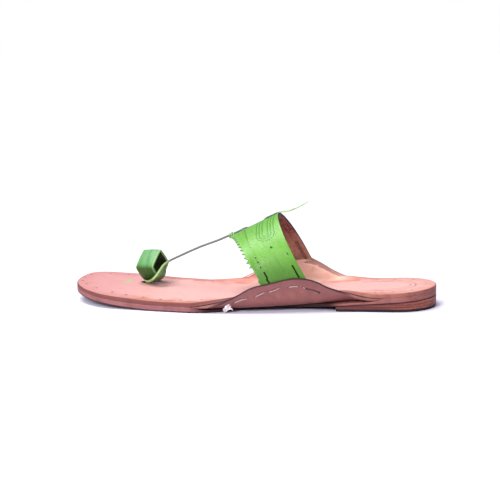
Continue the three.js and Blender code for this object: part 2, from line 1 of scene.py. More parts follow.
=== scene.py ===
"""A left kolhapuri sandal in a white studio.

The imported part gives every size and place. Each sub-assembly below is rebuilt as fine leather, thread and
thong surfaces over it: sole layers, insole, side ears, green instep band, toe ring and lace.
Lengths are millimetres until a mesh is made, and metres from there on.
"""
from __future__ import annotations

import logging
from collections.abc import Callable
from dataclasses import dataclass, field
from enum import Enum

import bmesh
import bpy
import numpy as np
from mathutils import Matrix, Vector

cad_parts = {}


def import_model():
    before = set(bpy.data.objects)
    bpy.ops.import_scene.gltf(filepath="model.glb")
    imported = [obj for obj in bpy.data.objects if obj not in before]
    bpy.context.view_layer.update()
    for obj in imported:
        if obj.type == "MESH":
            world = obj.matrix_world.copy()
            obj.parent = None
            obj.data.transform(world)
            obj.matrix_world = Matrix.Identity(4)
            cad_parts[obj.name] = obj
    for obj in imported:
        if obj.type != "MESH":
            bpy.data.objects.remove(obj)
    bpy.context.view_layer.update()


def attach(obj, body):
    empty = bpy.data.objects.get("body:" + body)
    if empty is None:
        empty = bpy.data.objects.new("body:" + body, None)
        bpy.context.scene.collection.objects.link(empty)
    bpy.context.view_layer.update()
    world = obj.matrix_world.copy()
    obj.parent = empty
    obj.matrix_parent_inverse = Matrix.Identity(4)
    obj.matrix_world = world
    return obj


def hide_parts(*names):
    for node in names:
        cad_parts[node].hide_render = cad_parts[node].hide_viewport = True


LOG = logging.getLogger("sandal")
BODY = "root"
# One millimetre, in metres
MM = 0.001
# Distance in millimetres past which a mark or a line no longer counts
FAR = 60.0
# Points round the section of a thong
THONG_SIDES = 14
# Distances in metres within which points are merged and faces dissolved
MERGE_WITHIN = 2e-6
DISSOLVE_WITHIN = 1e-7
# Angles between faces from which an edge is shown sharp, and from which it is bevelled
SHARP_FROM = np.radians(42)
BEVEL_FROM = np.radians(50)
# Share of its stated lightness that every leather colour is laid with, to suit the strength of the lamps
TONE = 0.6
Array = np.ndarray
Line = tuple[tuple[float, float], ...]
Marks = tuple[tuple[float, float, float], ...]
Colour = tuple[float, float, float]
Socket = bpy.types.NodeSocket
Input = Socket | float | tuple
Materials = tuple[bpy.types.Material, ...]
# Function that gives a height at each share of the length
Height = Callable[[Array], Array]


class Side(Enum):
    """Side of the sandal, with the sign of its Y."""

    LATERAL = -1
    MEDIAL = 1


class Face(Enum):
    """Material places of a sheet of leather."""

    GRAIN = 0
    CUT = 1
    FLESH = 2


# Shapes


def smooth(t: Array) -> Array:
    """3t^2 - 2t^3, with t kept between 0 and 1."""
    t = np.clip(t, 0.0, 1.0)
    return t * t * (3.0 - 2.0 * t)


def read_table(rows: Line, at: Array) -> Array:
    """Smooth reading of a table of (place, value) rows, held level at its first and last rows.

    Between two rows the value is the cubic with the rows' values and, at each row, the mean of the slopes on
    either side of it.

    Args:
        rows: Places in rising order with their values.
        at: Places to read.

    Returns:
        The value at each place.
    """
    place, value = np.array(rows, float).T
    slope = np.diff(value) / np.diff(place)
    tangent = np.zeros_like(value)
    tangent[1:-1] = (slope[:-1] + slope[1:]) / 2
    at = np.clip(at, place[0], place[-1])
    k = np.clip(np.searchsorted(place, at, side="right") - 1, 0, len(place) - 2)
    span = place[k + 1] - place[k]
    t = (at - place[k]) / span
    return (
        value[k] * (1 + 2 * t) * (1 - t) ** 2
        + tangent[k] * span * t * (1 - t) ** 2
        + value[k + 1] * t * t * (3 - 2 * t)
        + tangent[k + 1] * span * t * t * (t - 1)
    )


def unit(v: Array) -> Array:
    """Vectors of length 1 along the last axis."""
    return v / np.maximum(np.linalg.norm(v, axis=-1, keepdims=True), 1e-12)


def distance_run(path: Array) -> Array:
    """Distance from the start of a path to each of its points, along it."""
    return np.concatenate([[0], np.cumsum(np.linalg.norm(np.diff(path, axis=0), axis=1))])


def drawn_together(ring: Array) -> Array:
    """A ring whose points have all been drawn to its middle."""
    return np.broadcast_to(ring.mean(0), ring.shape)


def ripple(x: Array, y: Array, seed: int, waves: int = 7, low: float = 0.5, high: float = 3.0) -> Array:
    """Smooth random relief of height about 1: a sum of sine waves with seeded directions, lengths and phases.

    Args:
        x: First coordinate in units of the relief's size.
        y: Second coordinate.
        seed: Chooses the waves.
        waves: Number of waves.
        low: Lowest frequency, in radians a unit.
        high: Highest frequency.

    Returns:
        Height at each point.
    """
    rng = np.random.default_rng(seed)
    total = np.zeros(np.broadcast(x, y).shape)
    for _ in range(waves):
        turn, frequency, phase = rng.uniform(0, np.pi), rng.uniform(low, high), rng.uniform(0, 2 * np.pi)
        total += np.sin(frequency * (x * np.cos(turn) + y * np.sin(turn)) + phase)
    return total / np.sqrt(waves)


def near_mark(x: Array, y: Array, marks: Marks, within: float = 3.2) -> Array:
    """Offset to the nearest of some round marks, divided by its size.

    Past the surroundings of every mark both parts are held at a large value, so that a shader which draws a
    disc where the offset is short never draws one halfway between two marks.

    Args:
        x: First coordinate of each point, in millimetres.
        y: Second coordinate.
        marks: Places and sizes.
        within: Distance up to which the offset is kept.

    Returns:
        Array of (..., 2).
    """
    spots = np.array(marks, float)
    away = np.stack([x, y], -1)[..., None, :] - spots[:, :2]
    nearest = np.argmin(np.linalg.norm(away, axis=-1), -1)
    offset = np.take_along_axis(away, nearest[..., None, None], -2)[..., 0, :]
    close = np.linalg.norm(offset, axis=-1, keepdims=True) < within
    return np.where(close, offset / spots[nearest, 2][..., None], FAR)


def line_distance(x: Array, y: Array, line: Line) -> Array:
    """Distance from each point to the nearest stretch of a polyline, no more than FAR.

    Args:
        x: First coordinate of each point.
        y: Second coordinate.
        line: Corners of the polyline.

    Returns:
        Distance of each point.
    """
    a, b = np.array(line[:-1], float), np.array(line[1:], float)
    along = b - a
    away = np.stack([x, y], -1)[..., None, :] - a
    share = np.clip((away * along).sum(-1) / (along**2).sum(-1), 0, 1)
    return np.minimum(np.linalg.norm(away - share[..., None] * along, axis=-1).min(-1), FAR)


@dataclass
class Shell:
    """Surface of one piece: points in millimetres, faces of four corners, and values kept at its points."""

    points: Array
    faces: Array
    places: Array
    values: dict[str, Array] = field(default_factory=dict)

    def facing_out(self) -> Shell:
        """The same closed surface with its faces turned outwards, judged by the sign of its volume.

        Returns:
            The surface.
        """
        a, b, c, d = (self.points[self.faces[:, n]] for n in range(4))
        volume = np.einsum("ij,ij->", a, np.cross(b, c)) + np.einsum("ij,ij->", a, np.cross(c, d))
        if volume < 0:
            self.faces = self.faces[:, ::-1]
        return self

    @staticmethod
    def joined(shells: list[Shell]) -> Shell:
        """Several surfaces as one, with the values that all of them keep.

        Args:
            shells: The surfaces.

        Returns:
            The one surface.
        """
        starts = np.cumsum([0] + [len(s.points) for s in shells[:-1]])
        names = set(shells[0].values).intersection(*(set(s.values) for s in shells))
        return Shell(
            np.concatenate([s.points for s in shells]),
            np.concatenate([s.faces + start for s, start in zip(shells, starts)]),
            np.concatenate([s.places for s in shells]),
            {name: np.concatenate([s.values[name] for s in shells]) for name in sorted(names)},
        )


def grid_faces(rows: int, columns: int, wrap_rows: bool = False, wrap_columns: bool = False) -> Array:
    """Four-cornered faces of a grid of points in row order, closed on itself where asked.

    Args:
        rows: Rows of points.
        columns: Points in a row.
        wrap_rows: Whether the last row meets the first.
        wrap_columns: Whether the last column meets the first.

    Returns:
        Array of (face, 4).
    """
    i = np.arange(rows if wrap_rows else rows - 1)
    j = np.arange(columns if wrap_columns else columns - 1)
    i, j = np.meshgrid(i, j, indexing="ij")
    down, across = (i + 1) % rows, (j + 1) % columns
    corners = [i * columns + j, down * columns + j, down * columns + across, i * columns + across]
    return np.stack(corners, -1).reshape(-1, 4)


def ring_shell(rings: Array) -> Shell:
    """Closed surface from rings of points, the first and last of which have shrunk to a seam.

    Args:
        rings: Array of (ring, point round the ring, 3).

    Returns:
        The surface, facing outwards.
    """
    count, around = rings.shape[:2]
    faces = grid_faces(count, around, wrap_columns=True)
    return Shell(rings.reshape(-1, 3), faces, np.full(len(faces), Face.GRAIN.value)).facing_out()


def sheet_shell(upper: Array, lower: Array, keep: Array | None = None) -> Shell:
    """Closed sheet of leather between an upper and a lower grid, with square walls round its edge and holes.

    A wall stands wherever a kept cell has no kept neighbour. Upper cells take the grain side's material,
    lower cells the flesh side's, and walls the cut edge's.

    Args:
        upper: Array of (row, column, 3).
        lower: The same for the lower side.
        keep: Array of (row - 1, column - 1), false where a cell is cut out.

    Returns:
        The surface, facing outwards.
    """
    rows, columns = upper.shape[:2]
    kept = np.ones((rows - 1, columns - 1), bool) if keep is None else keep
    cells = grid_faces(rows, columns).reshape(rows - 1, columns - 1, 4)
    top = cells[kept]
    shift = rows * columns
    bottom = top[:, ::-1] + shift
    padded = np.pad(kept, 1)
    inner = padded[1:-1, 1:-1]
    walls = []
    neighbours = (padded[:-2, 1:-1], padded[1:-1, :-2], padded[2:, 1:-1], padded[1:-1, 2:])
    for neighbour, (a, b) in zip(neighbours, ((0, 3), (1, 0), (2, 1), (3, 2))):
        edge = cells[inner & ~neighbour]
        walls.append(np.stack([edge[:, a], edge[:, b], edge[:, b] + shift, edge[:, a] + shift], -1))
    wall = np.concatenate(walls)
    points = np.concatenate([upper.reshape(-1, 3), lower.reshape(-1, 3)])
    faces = np.concatenate([top, bottom, wall])
    sides = [Face.GRAIN.value, Face.FLESH.value, Face.CUT.value]
    return Shell(points, faces, np.repeat(sides, [len(top), len(bottom), len(wall)])).facing_out()


def frames_along(path: Array, up: Array) -> tuple[Array, Array]:
    """Sideways and upward unit vectors along an open path, square to it and as near to up as can be.

    Args:
        path: Points of the path.
        up: The upward direction, one for all or one for each point.

    Returns:
        The sideways and the upward vectors.
    """
    tangent = unit(np.gradient(path, axis=0))
    aside = unit(np.cross(tangent, np.broadcast_to(up, path.shape)))
    return aside, np.cross(aside, tangent)


def strip_shell(path: Array, up: Array, width: Array, thickness: Array) -> Shell:
    """Thong along an open path, with a rounded oblong section that closes to a seam at both ends.

    The section is the superellipse of power 3.2: (cos t)^(2/3.2) times half the width across and
    (sin t)^(2/3.2) times half the thickness up.

    Args:
        path: Points of the middle line.
        up: The flat side's direction, one for all or one for each point.
        width: Width at each point.
        thickness: Thickness at each point.

    Returns:
        The surface, facing outwards.
    """
    shrink, bulge = 0.6, 0.25
    aside, raised = frames_along(path, up)
    turn = np.arange(THONG_SIDES) / THONG_SIDES * 2 * np.pi
    soften = 2 / 3.2
    across = np.sign(np.cos(turn)) * np.abs(np.cos(turn)) ** soften / 2
    above = np.sign(np.sin(turn)) * np.abs(np.sin(turn)) ** soften / 2
    width, thickness = (np.broadcast_to(v, len(path)).astype(float) for v in (width, thickness))
    offset = (
        aside[:, None] * (width[:, None] * across)[..., None]
        + raised[:, None] * (thickness[:, None] * above)[..., None]
    )
    rings = path[:, None] + offset
    tangent = unit(np.gradient(path, axis=0))
    first = path[0] + offset[0] * shrink - tangent[0] * thickness[0] * bulge
    last = path[-1] + offset[-1] * shrink + tangent[-1] * thickness[-1] * bulge
    return ring_shell(np.stack([drawn_together(first), first, *rings, last, drawn_together(last)]))


def spline(points: Array, count: int) -> Array:
    """Evenly spaced points on the centripetal Catmull-Rom curve through the given ones.

    Each stretch between two points is the cubic whose end slopes come from the neighbours, with knots spaced
    by the square root of the chord, and the whole is then spaced evenly by its length.

    Args:
        points: Points to pass through.
        count: Number of points to give back.

    Returns:
        Array of (count, 3).
    """
    points = np.asarray(points, float)
    ends = np.vstack([2 * points[0] - points[1], points, 2 * points[-1] - points[-2]])
    knots = np.concatenate([[0], np.cumsum(np.sqrt(np.linalg.norm(np.diff(ends, axis=0), axis=1)))])
    fine = np.linspace(knots[1], knots[-2], 40 * len(points))
    k = np.clip(np.searchsorted(knots, fine, side="right") - 1, 1, len(knots) - 3)
    t = [knots[k + n] for n in (-1, 0, 1, 2)]
    p = [ends[k + n] for n in (-1, 0, 1, 2)]

    def blend(a: Array, b: Array, ta: Array, tb: Array) -> Array:
        """Straight mix of the points a and b, which belong to the knots ta and tb."""
        share = ((fine - ta) / (tb - ta))[:, None]
        return a * (1 - share) + b * share

    a = [blend(p[n], p[n + 1], t[n], t[n + 1]) for n in range(3)]
    b = [blend(a[n], a[n + 1], t[n], t[n + 2]) for n in range(2)]
    curve = blend(b[0], b[1], t[1], t[2])
    walked = distance_run(curve)
    even = np.linspace(0, walked[-1], count)
    return np.stack([np.interp(even, walked, curve[:, n]) for n in range(3)], -1)


# The last: every line of the sandal that more than one piece follows


@dataclass(frozen=True)
class Last:
    """Sizes and lines of the sandal, in millimetres, with its toe at -X and its inner side at +Y."""

    length: float = 258.0
    toe_round: float = 45.0
    toe_power: float = 2.6
    heel_round: float = 29.5
    toe_spring: float = 6.8
    forefoot_thickness: float = 3.9
    shank_thickness: float = 4.2
    toe_skive: float = 0.85
    toe_skive_end: float = 0.15
    shank_full: float = 0.6
    waist_inset: float = 12.0
    insole_thickness: float = 2.8
    seam: float = 0.3
    heel_breast: float = 69.0
    seat_front: float = 3.4
    seat_back: float = 7.8
    contact_front: float = 0.25
    contact_rear: float = 0.375
    ear_thickness: float = 2.0
    ear_flange: float = 11.0
    wing_drop: float = 1.5
    bend_length: float = 7.5
    least_wall: float = 0.4
    band_thickness: float = 1.8
    middle_shift: float = 1.472
    ear_front: float = 0.345
    ear_rear: float = 0.868
    lean: tuple[float, float] = (4.0, 11.0)
    wall: tuple[float, float] = (11.9, 15.5)
    # Share of the length, a width, and the shares of it on the outer and on the inner side
    outline: tuple[tuple[float, ...], ...] = (
        (0.0, 91.0, 0.4, 0.515),
        (0.1, 91.0, 0.447, 0.49),
        (0.2, 91.0, 0.482, 0.5),
        (0.28, 91.0, 0.511, 0.467),
        (0.36, 91.0, 0.533, 0.407),
        (0.44, 91.0, 0.524, 0.385),
        (0.52, 91.0, 0.492, 0.38),
        (0.6, 91.0, 0.443, 0.379),
        (0.68, 59.0, 0.603, 0.573),
        (0.76, 59.0, 0.536, 0.542),
        (0.85, 59.0, 0.505, 0.505),
        (1.0, 59.0, 0.478, 0.51),
    )
    # Share of the length, and the shares of the inset on the outer and on the inner side
    waist: Marks = (
        (0.34, 0.0, 0.0),
        (0.42, 0.35, 0.3),
        (0.5, 1.0, 0.75),
        (0.6, 0.9, 0.8),
        (0.68, 0.45, 0.5),
        (0.76, 0.0, 0.0),
    )
    # Share of the length, share of the bend's angle, and those of the outer and of the inner wall's length
    ear_profile: tuple[tuple[float, ...], ...] = (
        (0.345, 0.0, 0.0, 0.0),
        (0.385, 0.22, 0.0, 0.0),
        (0.43, 0.56, 0.04, 0.03),
        (0.471, 0.92, 0.17, 0.175),
        (0.509, 1.0, 0.56, 0.47),
        (0.56, 1.0, 0.79, 0.8),
        (0.605, 1.0, 0.98, 0.975),
        (0.63, 1.0, 1.0, 1.0),
        (0.67, 1.0, 0.81, 0.7),
        (0.713, 1.0, 0.3, 0.26),
        (0.752, 0.85, 0.04, 0.02),
        (0.79, 0.4, 0.0, 0.0),
        (0.83, 0.06, 0.0, 0.0),
        (0.868, 0.0, 0.0, 0.0),
    )
    pocket_marks: tuple[float, float, float, float] = (0.48, 0.525, 0.685, 0.73)
    unbent: float = 1e4

    def at_ears(self, at: Array) -> Array:
        """Whether a station lies between the front and the rear end of the ears."""
        return (at > self.ear_front) & (at < self.ear_rear)

    @property
    def ear_step(self) -> float:
        """Distance between the middles of insole and ear."""
        return self.insole_thickness / 2 + self.seam + self.ear_thickness / 2

    @property
    def breast_at(self) -> float:
        """Share of the length at which the heel starts."""
        return 1 - self.heel_breast / self.length

    def x(self, at: Array) -> Array:
        """X at a share of the length."""
        return (at - 0.5) * self.length

    def at(self, x: Array) -> Array:
        """Share of the length at X."""
        return x / self.length + 0.5

    def rounding(self, at: Array) -> Array:
        """Share of the width left at the ends: a superellipse at the toe, and a circle at the heel.

        Args:
            at: Share of the length.

        Returns:
            The share.
        """
        toe = np.clip(1 - at * self.length / self.toe_round, 0, 1)
        heel = np.clip(1 - (1 - at) * self.length / self.heel_round, 0, 1)
        toe_share = np.clip(1 - toe**self.toe_power, 0, 1) ** (1 / self.toe_power)
        return toe_share * np.sqrt(np.clip(1 - heel**2, 0, 1))

    def edge(self, side: Array, at: Array) -> Array:
        """Y of the outline.

        Args:
            side: -1 or 1.
            at: Share of the length.

        Returns:
            Y at each place.
        """
        lateral = -read_table(tuple((r[0], r[1] * r[2]) for r in self.outline), at)
        medial = read_table(tuple((r[0], r[1] * r[3]) for r in self.outline), at)
        return (lateral + medial) / 2 + side * (medial - lateral) / 2 * self.rounding(at)

    def outsole_edge(self, side: Array, at: Array) -> Array:
        """Y of the outsole's edge, which stands in under the ears.

        Args:
            side: -1 or 1.
            at: Share of the length.

        Returns:
            Y at each place.
        """
        lateral = read_table(tuple((r[0], r[1]) for r in self.waist), at)
        medial = read_table(tuple((r[0], r[2]) for r in self.waist), at)
        return self.edge(side, at) - side * self.waist_inset * np.where(side < 0, lateral, medial)

    def underside(self, at: Array) -> Array:
        """Height of the outsole's underside: toe spring, flat ball, arched shank, sloping heel seat.

        Args:
            at: Share of the length.

        Returns:
            The height.
        """
        front, rear, breast = self.contact_front, self.contact_rear, self.breast_at
        toe = self.toe_spring * np.clip((front - at) / front, 0, None) ** 1.5
        shank = self.seat_front * np.clip((at - rear) / (breast - rear), 0, 1) ** 1.6
        seat = (self.seat_back - self.seat_front) * np.clip((at - breast) / (1 - breast), 0, None)
        return toe + shank + seat

    def skive(self, at: Array) -> Array:
        """Share of the full thickness left toward the tip of the toe."""
        return 1 - (1 - self.toe_skive) * np.clip(1 - at / self.toe_skive_end, 0, 1)

    def outsole_top(self, at: Array) -> Array:
        """Height of the outsole's upper side.

        Args:
            at: Share of the length.

        Returns:
            The height.
        """
        shank = smooth((at - self.contact_rear) / (self.shank_full - self.contact_rear))
        thickness = self.forefoot_thickness + (self.shank_thickness - self.forefoot_thickness) * shank
        return self.underside(at) + thickness * self.skive(at)

    def insole_middle(self, at: Array) -> Array:
        """Height of the middle of the insole's thickness."""
        return self.outsole_top(at) + self.seam + self.insole_thickness * self.skive(at) / 2

    def insole_top(self, at: Array) -> Array:
        """Height of the insole's upper side."""
        return self.insole_middle(at) + self.insole_thickness * self.skive(at) / 2

    def pocket(self, at: Array) -> Array:
        """How far the ears stand off the wings, to take the band between them.

        Args:
            at: Share of the length.

        Returns:
            The distance.
        """
        front, front_full, rear_full, rear = self.pocket_marks
        ends = (at - front) / (front_full - front), (rear - at) / (rear - rear_full)
        return (self.band_thickness + self.seam) * smooth(np.minimum(*ends))

    def bend(self, side: Array, at: Array) -> tuple[Array, Array, Array]:
        """The bend that wing and ear share.

        Args:
            side: -1 or 1.
            at: Share of the length.

        Returns:
            Its angle, the insole's own bend radius, and the distance from y = 0 at which it starts.
        """
        full = np.radians(90 - np.where(side < 0, *self.lean))
        share = read_table(tuple((r[0], r[1]) for r in self.ear_profile), at)
        angle = np.maximum(0.002, full * share)
        radius = self.bend_length / angle
        outer = radius + self.ear_step + self.ear_thickness / 2
        reach = outer * np.sin(angle) + self.least_wall * np.cos(angle)
        start = np.abs(self.edge(side, at)) - reach - np.where(self.at_ears(at), self.pocket(at), 0)
        return angle, radius, start

    def ear_wall(self, side: Array, at: Array) -> Array:
        """Straight length of an ear's wall over its bend.

        Args:
            side: -1 or 1.
            at: Share of the length.

        Returns:
            The length.
        """
        lateral = read_table(tuple((r[0], r[2]) for r in self.ear_profile), at)
        medial = read_table(tuple((r[0], r[3]) for r in self.ear_profile), at)
        full = np.where(side < 0, *self.wall)
        return self.least_wall + (full - self.least_wall) * np.where(side < 0, lateral, medial)

    def ear_top(self, side: Array, at: Array) -> Array:
        """Height of an ear's top edge.

        Args:
            side: -1 or 1.
            at: Share of the length.

        Returns:
            The height.
        """
        angle, radius, _ = self.bend(side, at)
        rise = (radius + self.ear_step) * (1 - np.cos(angle))
        return self.insole_middle(at) - self.ear_step + rise + self.ear_wall(side, at) * np.sin(angle)

    def wing_wall(self, side: Array, at: Array) -> Array:
        """Straight length of a wing over its bend.

        Args:
            side: -1 or 1.
            at: Share of the length.

        Returns:
            The length.
        """
        angle, radius, _ = self.bend(side, at)
        rise = self.ear_top(side, at) - self.wing_drop - self.insole_middle(at) - radius * (1 - np.cos(angle))
        return np.maximum(self.least_wall, rise / np.sin(angle))

    def bent(
        self,
        x: Array,
        reach: Array,
        side: Array,
        base: Array,
        start: Array,
        radius: Array,
        angle: Array,
        lift: Array,
    ) -> Array:
        """Point on a sheet that lies flat, bends up about a line along X, and goes on as a straight wall.

        Args:
            x: Place along the sandal.
            reach: Distance from the middle line, measured along the sheet.
            side: -1 or 1.
            base: Height of the flat part.
            start: Distance at which the bend starts.
            radius: Radius of the bend.
            angle: Full angle of the bend.
            lift: Distance from the sheet toward its inner, upper side.

        Returns:
            Array of (..., 3).
        """
        turned = np.clip((reach - start) / radius, 0, angle)
        wall = np.maximum(reach - start - radius * angle, 0)
        y = np.minimum(reach, start) + radius * np.sin(turned) + wall * np.cos(angle) - lift * np.sin(turned)
        z = base + radius * (1 - np.cos(turned)) + wall * np.sin(angle) + lift * np.cos(turned)
        return np.stack(np.broadcast_arrays(x, side * y, z), -1)

    def on_insole(self, x: Array, reach: Array, lift: Array) -> Array:
        """Point on the insole's middle sheet.

        Args:
            x: Place along the sandal.
            reach: Signed distance from y = 0 along the sheet, minus to the outer side.
            lift: Distance above the middle of its thickness.

        Returns:
            Array of (..., 3).
        """
        at = self.at(x)
        side = np.where(reach < 0, -1, 1)
        angle, radius, start = self.bend(side, at)
        start = np.where(self.at_ears(at), start, self.unbent)
        return self.bent(x, np.abs(reach), side, self.insole_middle(at), start, radius, angle, lift)

    def insole_rim(self, side: Array, at: Array) -> Array:
        """Signed distance of the insole's rim from y = 0, measured along the sheet.

        Args:
            side: -1 or 1.
            at: Share of the length.

        Returns:
            The distance.
        """
        angle, radius, start = self.bend(side, at)
        bent = side * (start + radius * angle + self.wing_wall(side, at))
        return np.where(self.at_ears(at), bent, self.edge(side, at))

    def ear_skive(self, at: Array) -> Array:
        """Share of an ear's thickness left toward its pointed ends."""
        ends = np.minimum(at - self.ear_front, self.ear_rear - at) / 0.05
        return smooth(ends) ** 0.7

    def flange_inner(self, side: Array, at: Array) -> Array:
        """Distance from y = 0 of the inner end of an ear's flange, which narrows toward the ear's two ends.

        Args:
            side: -1 or 1.
            at: Share of the length.

        Returns:
            The distance.
        """
        along = (at - self.ear_front) / (self.ear_rear - self.ear_front)
        width = self.ear_flange * (0.35 + 0.65 * np.sqrt(np.sin(np.pi * np.clip(along, 0, 1))))
        return self.bend(side, at)[2] + self.pocket(at) - width

    def on_ear(self, x: Array, reach: Array, side: int, lift: Array) -> Array:
        """Point on an ear's middle sheet.

        Args:
            x: Place along the sandal.
            reach: Distance along the sheet past the start of its bend, minus on the flange.
            side: -1 or 1.
            lift: Distance from the middle of its thickness toward the foot.

        Returns:
            Array of (..., 3).
        """
        at = self.at(x)
        angle, radius, start = self.bend(side, at)
        start = start + self.pocket(at)
        base = self.insole_middle(at) - self.ear_step
        return self.bent(x, start + reach, side, base, start, radius + self.ear_step, angle, lift)

    def stations(self, count: int, start: float) -> Array:
        """Shares of the length that divide the outline, up to its heel end, into even steps along its edge.

        Args:
            count: Number of stations.
            start: Share of the length at the first one.

        Returns:
            The shares.
        """
        fine = start + (1 - start) * (1 - np.cos(np.linspace(0, np.pi, 6000))) / 2
        half = (self.edge(1, fine) - self.edge(-1, fine)) / 2
        walked = distance_run(np.column_stack([self.x(fine), half]))
        return np.interp(np.linspace(0, walked[-1], count), walked, fine)


LAST = Last()


# Closed outlines, and layers built up from them


@dataclass(frozen=True)
class Outline:
    """Loop of an edge in plan: along the outer side from front to heel and back along the inner side."""

    x: Array
    y: Array
    partner: Array

    @staticmethod
    def of(edge: Callable[[Array, Array], Array], count: int, start: float = 0.0) -> Outline:
        """Loop of an edge.

        Args:
            edge: Function of side and station that gives the distance from y = 0.
            count: Stations on each side.
            start: Station of its front end, which is cut square unless it is 0.

        Returns:
            The loop, in which each point knows its partner across the middle line.
        """
        at = LAST.stations(count, start)
        back = at[-2:0:-1] if start == 0 else at[-2::-1]
        whole = np.concatenate([at, back])
        side = np.repeat([-1, 1], [len(at), len(back)])
        order = np.arange(len(whole))
        partner = (-order) % len(whole) if start == 0 else order[::-1]
        return Outline(LAST.x(whole), edge(side, whole), partner)

    def inset(self, distance: Array) -> tuple[Array, Array]:
        """The loop moved inwards along its normal, in plan.

        Args:
            distance: How far.

        Returns:
            X and Y of its points.
        """
        dx, dy = (np.roll(v, -1) - np.roll(v, 1) for v in (self.x, self.y))
        length = np.maximum(np.hypot(dx, dy), 1e-9)
        nx, ny = dy / length, -dx / length
        outward = np.sign(np.sum(self.x * np.roll(self.y, -1) - np.roll(self.x, -1) * self.y))
        return self.x - outward * nx * distance, self.y - outward * ny * distance

    def shrunk(self, distance: float, share: float) -> tuple[Array, Array]:
        """The loop moved inwards, and then drawn toward the middle line.

        Args:
            distance: How far it is moved.
            share: Share of its distance from the middle line that is left.

        Returns:
            X and Y of its points.
        """
        x, y = self.inset(distance)
        middle_x, middle_y = (x + x[self.partner]) / 2, (y + y[self.partner]) / 2
        return middle_x + (x - middle_x) * share, middle_y + (y - middle_y) * share


def layer_shell(
    outline: Outline,
    place: Callable[[Array, Array, float, float], Array],
    rounds: tuple[float, float],
    steps: tuple[int, int, int] = (8, 7, 8),
) -> Shell:
    """Closed layer of leather: underside, rounded lower edge, wall, rounded upper edge, upper side.

    A ring of a rounded edge is the loop moved inwards by r(1 - sin t) and off its face by r(1 - cos t). A
    ring of a face is the innermost of those, drawn toward the middle line.

    Args:
        outline: Loop of the layer's edge.
        place: Function of x, y, share of the thickness from below and millimetres above that, giving points.
        rounds: Radius of the lower and of the upper edge.
        steps: Rings on the underside, on the wall and on the upper side.

    Returns:
        The layer. Its value "plan" holds x, y and the share of the thickness; "edge" the distance run along
        the outline, the distance in from it, and the height on the wall.
    """
    turns = np.linspace(0, np.pi / 2, 5)
    low, high = rounds
    rings, plans, edges = [], [], []
    run = distance_run(np.column_stack([outline.x, outline.y]))

    def add(x: Array, y: Array, share: float, above: float, inward: Array) -> None:
        """Places one more ring.

        Args:
            x: Place of its points along the sandal.
            y: Place of its points across it.
            share: Share of the thickness.
            above: Height over that share.
            inward: Distance in from the outline.
        """
        rings.append(place(x, y, share, above))
        plans.append(np.stack(np.broadcast_arrays(x, y, share), -1))
        edges.append(np.stack(np.broadcast_arrays(run, inward, share), -1))

    def add_face(radius: float, share: float, shares: Array) -> None:
        """Places the rings of one face.

        Args:
            radius: Radius of the edge round it.
            share: Share of the thickness.
            shares: Shares of the distance from the middle line, ring by ring.
        """
        rim_x, rim_y = outline.inset(radius)
        for kept in shares:
            x, y = outline.shrunk(radius, kept)
            add(x, y, share, 0, radius + np.hypot(rim_x - x, rim_y - y))

    add_face(low, 0, np.linspace(0, 1, steps[0])[:-1])
    for turn in turns:
        inward = low * (1 - np.sin(turn))
        add(*outline.inset(inward), 0, low * (1 - np.cos(turn)), inward)
    for share in np.linspace(0, 1, steps[1] + 2)[1:-1]:
        add(outline.x, outline.y, share, low * (1 - share) - high * share, 0)
    for turn in turns[::-1]:
        inward = high * (1 - np.sin(turn))
        add(*outline.inset(inward), 1, -high * (1 - np.cos(turn)), inward)
    add_face(high, 1, np.linspace(0, 1, steps[2])[-2::-1])
    shell = ring_shell(np.stack(rings))
    shell.values = {"plan": np.concatenate(plans), "edge": np.concatenate(edges)}
    around = len(outline.x)
    row = np.arange(len(shell.faces)) // around
    wall = (row >= steps[0] - 1) & (row < len(rings) - steps[2])
    face = np.where(row < steps[0] - 1, Face.FLESH.value, Face.GRAIN.value)
    shell.places = np.where(wall, Face.CUT.value, face)
    return shell


# Sub-assemblies


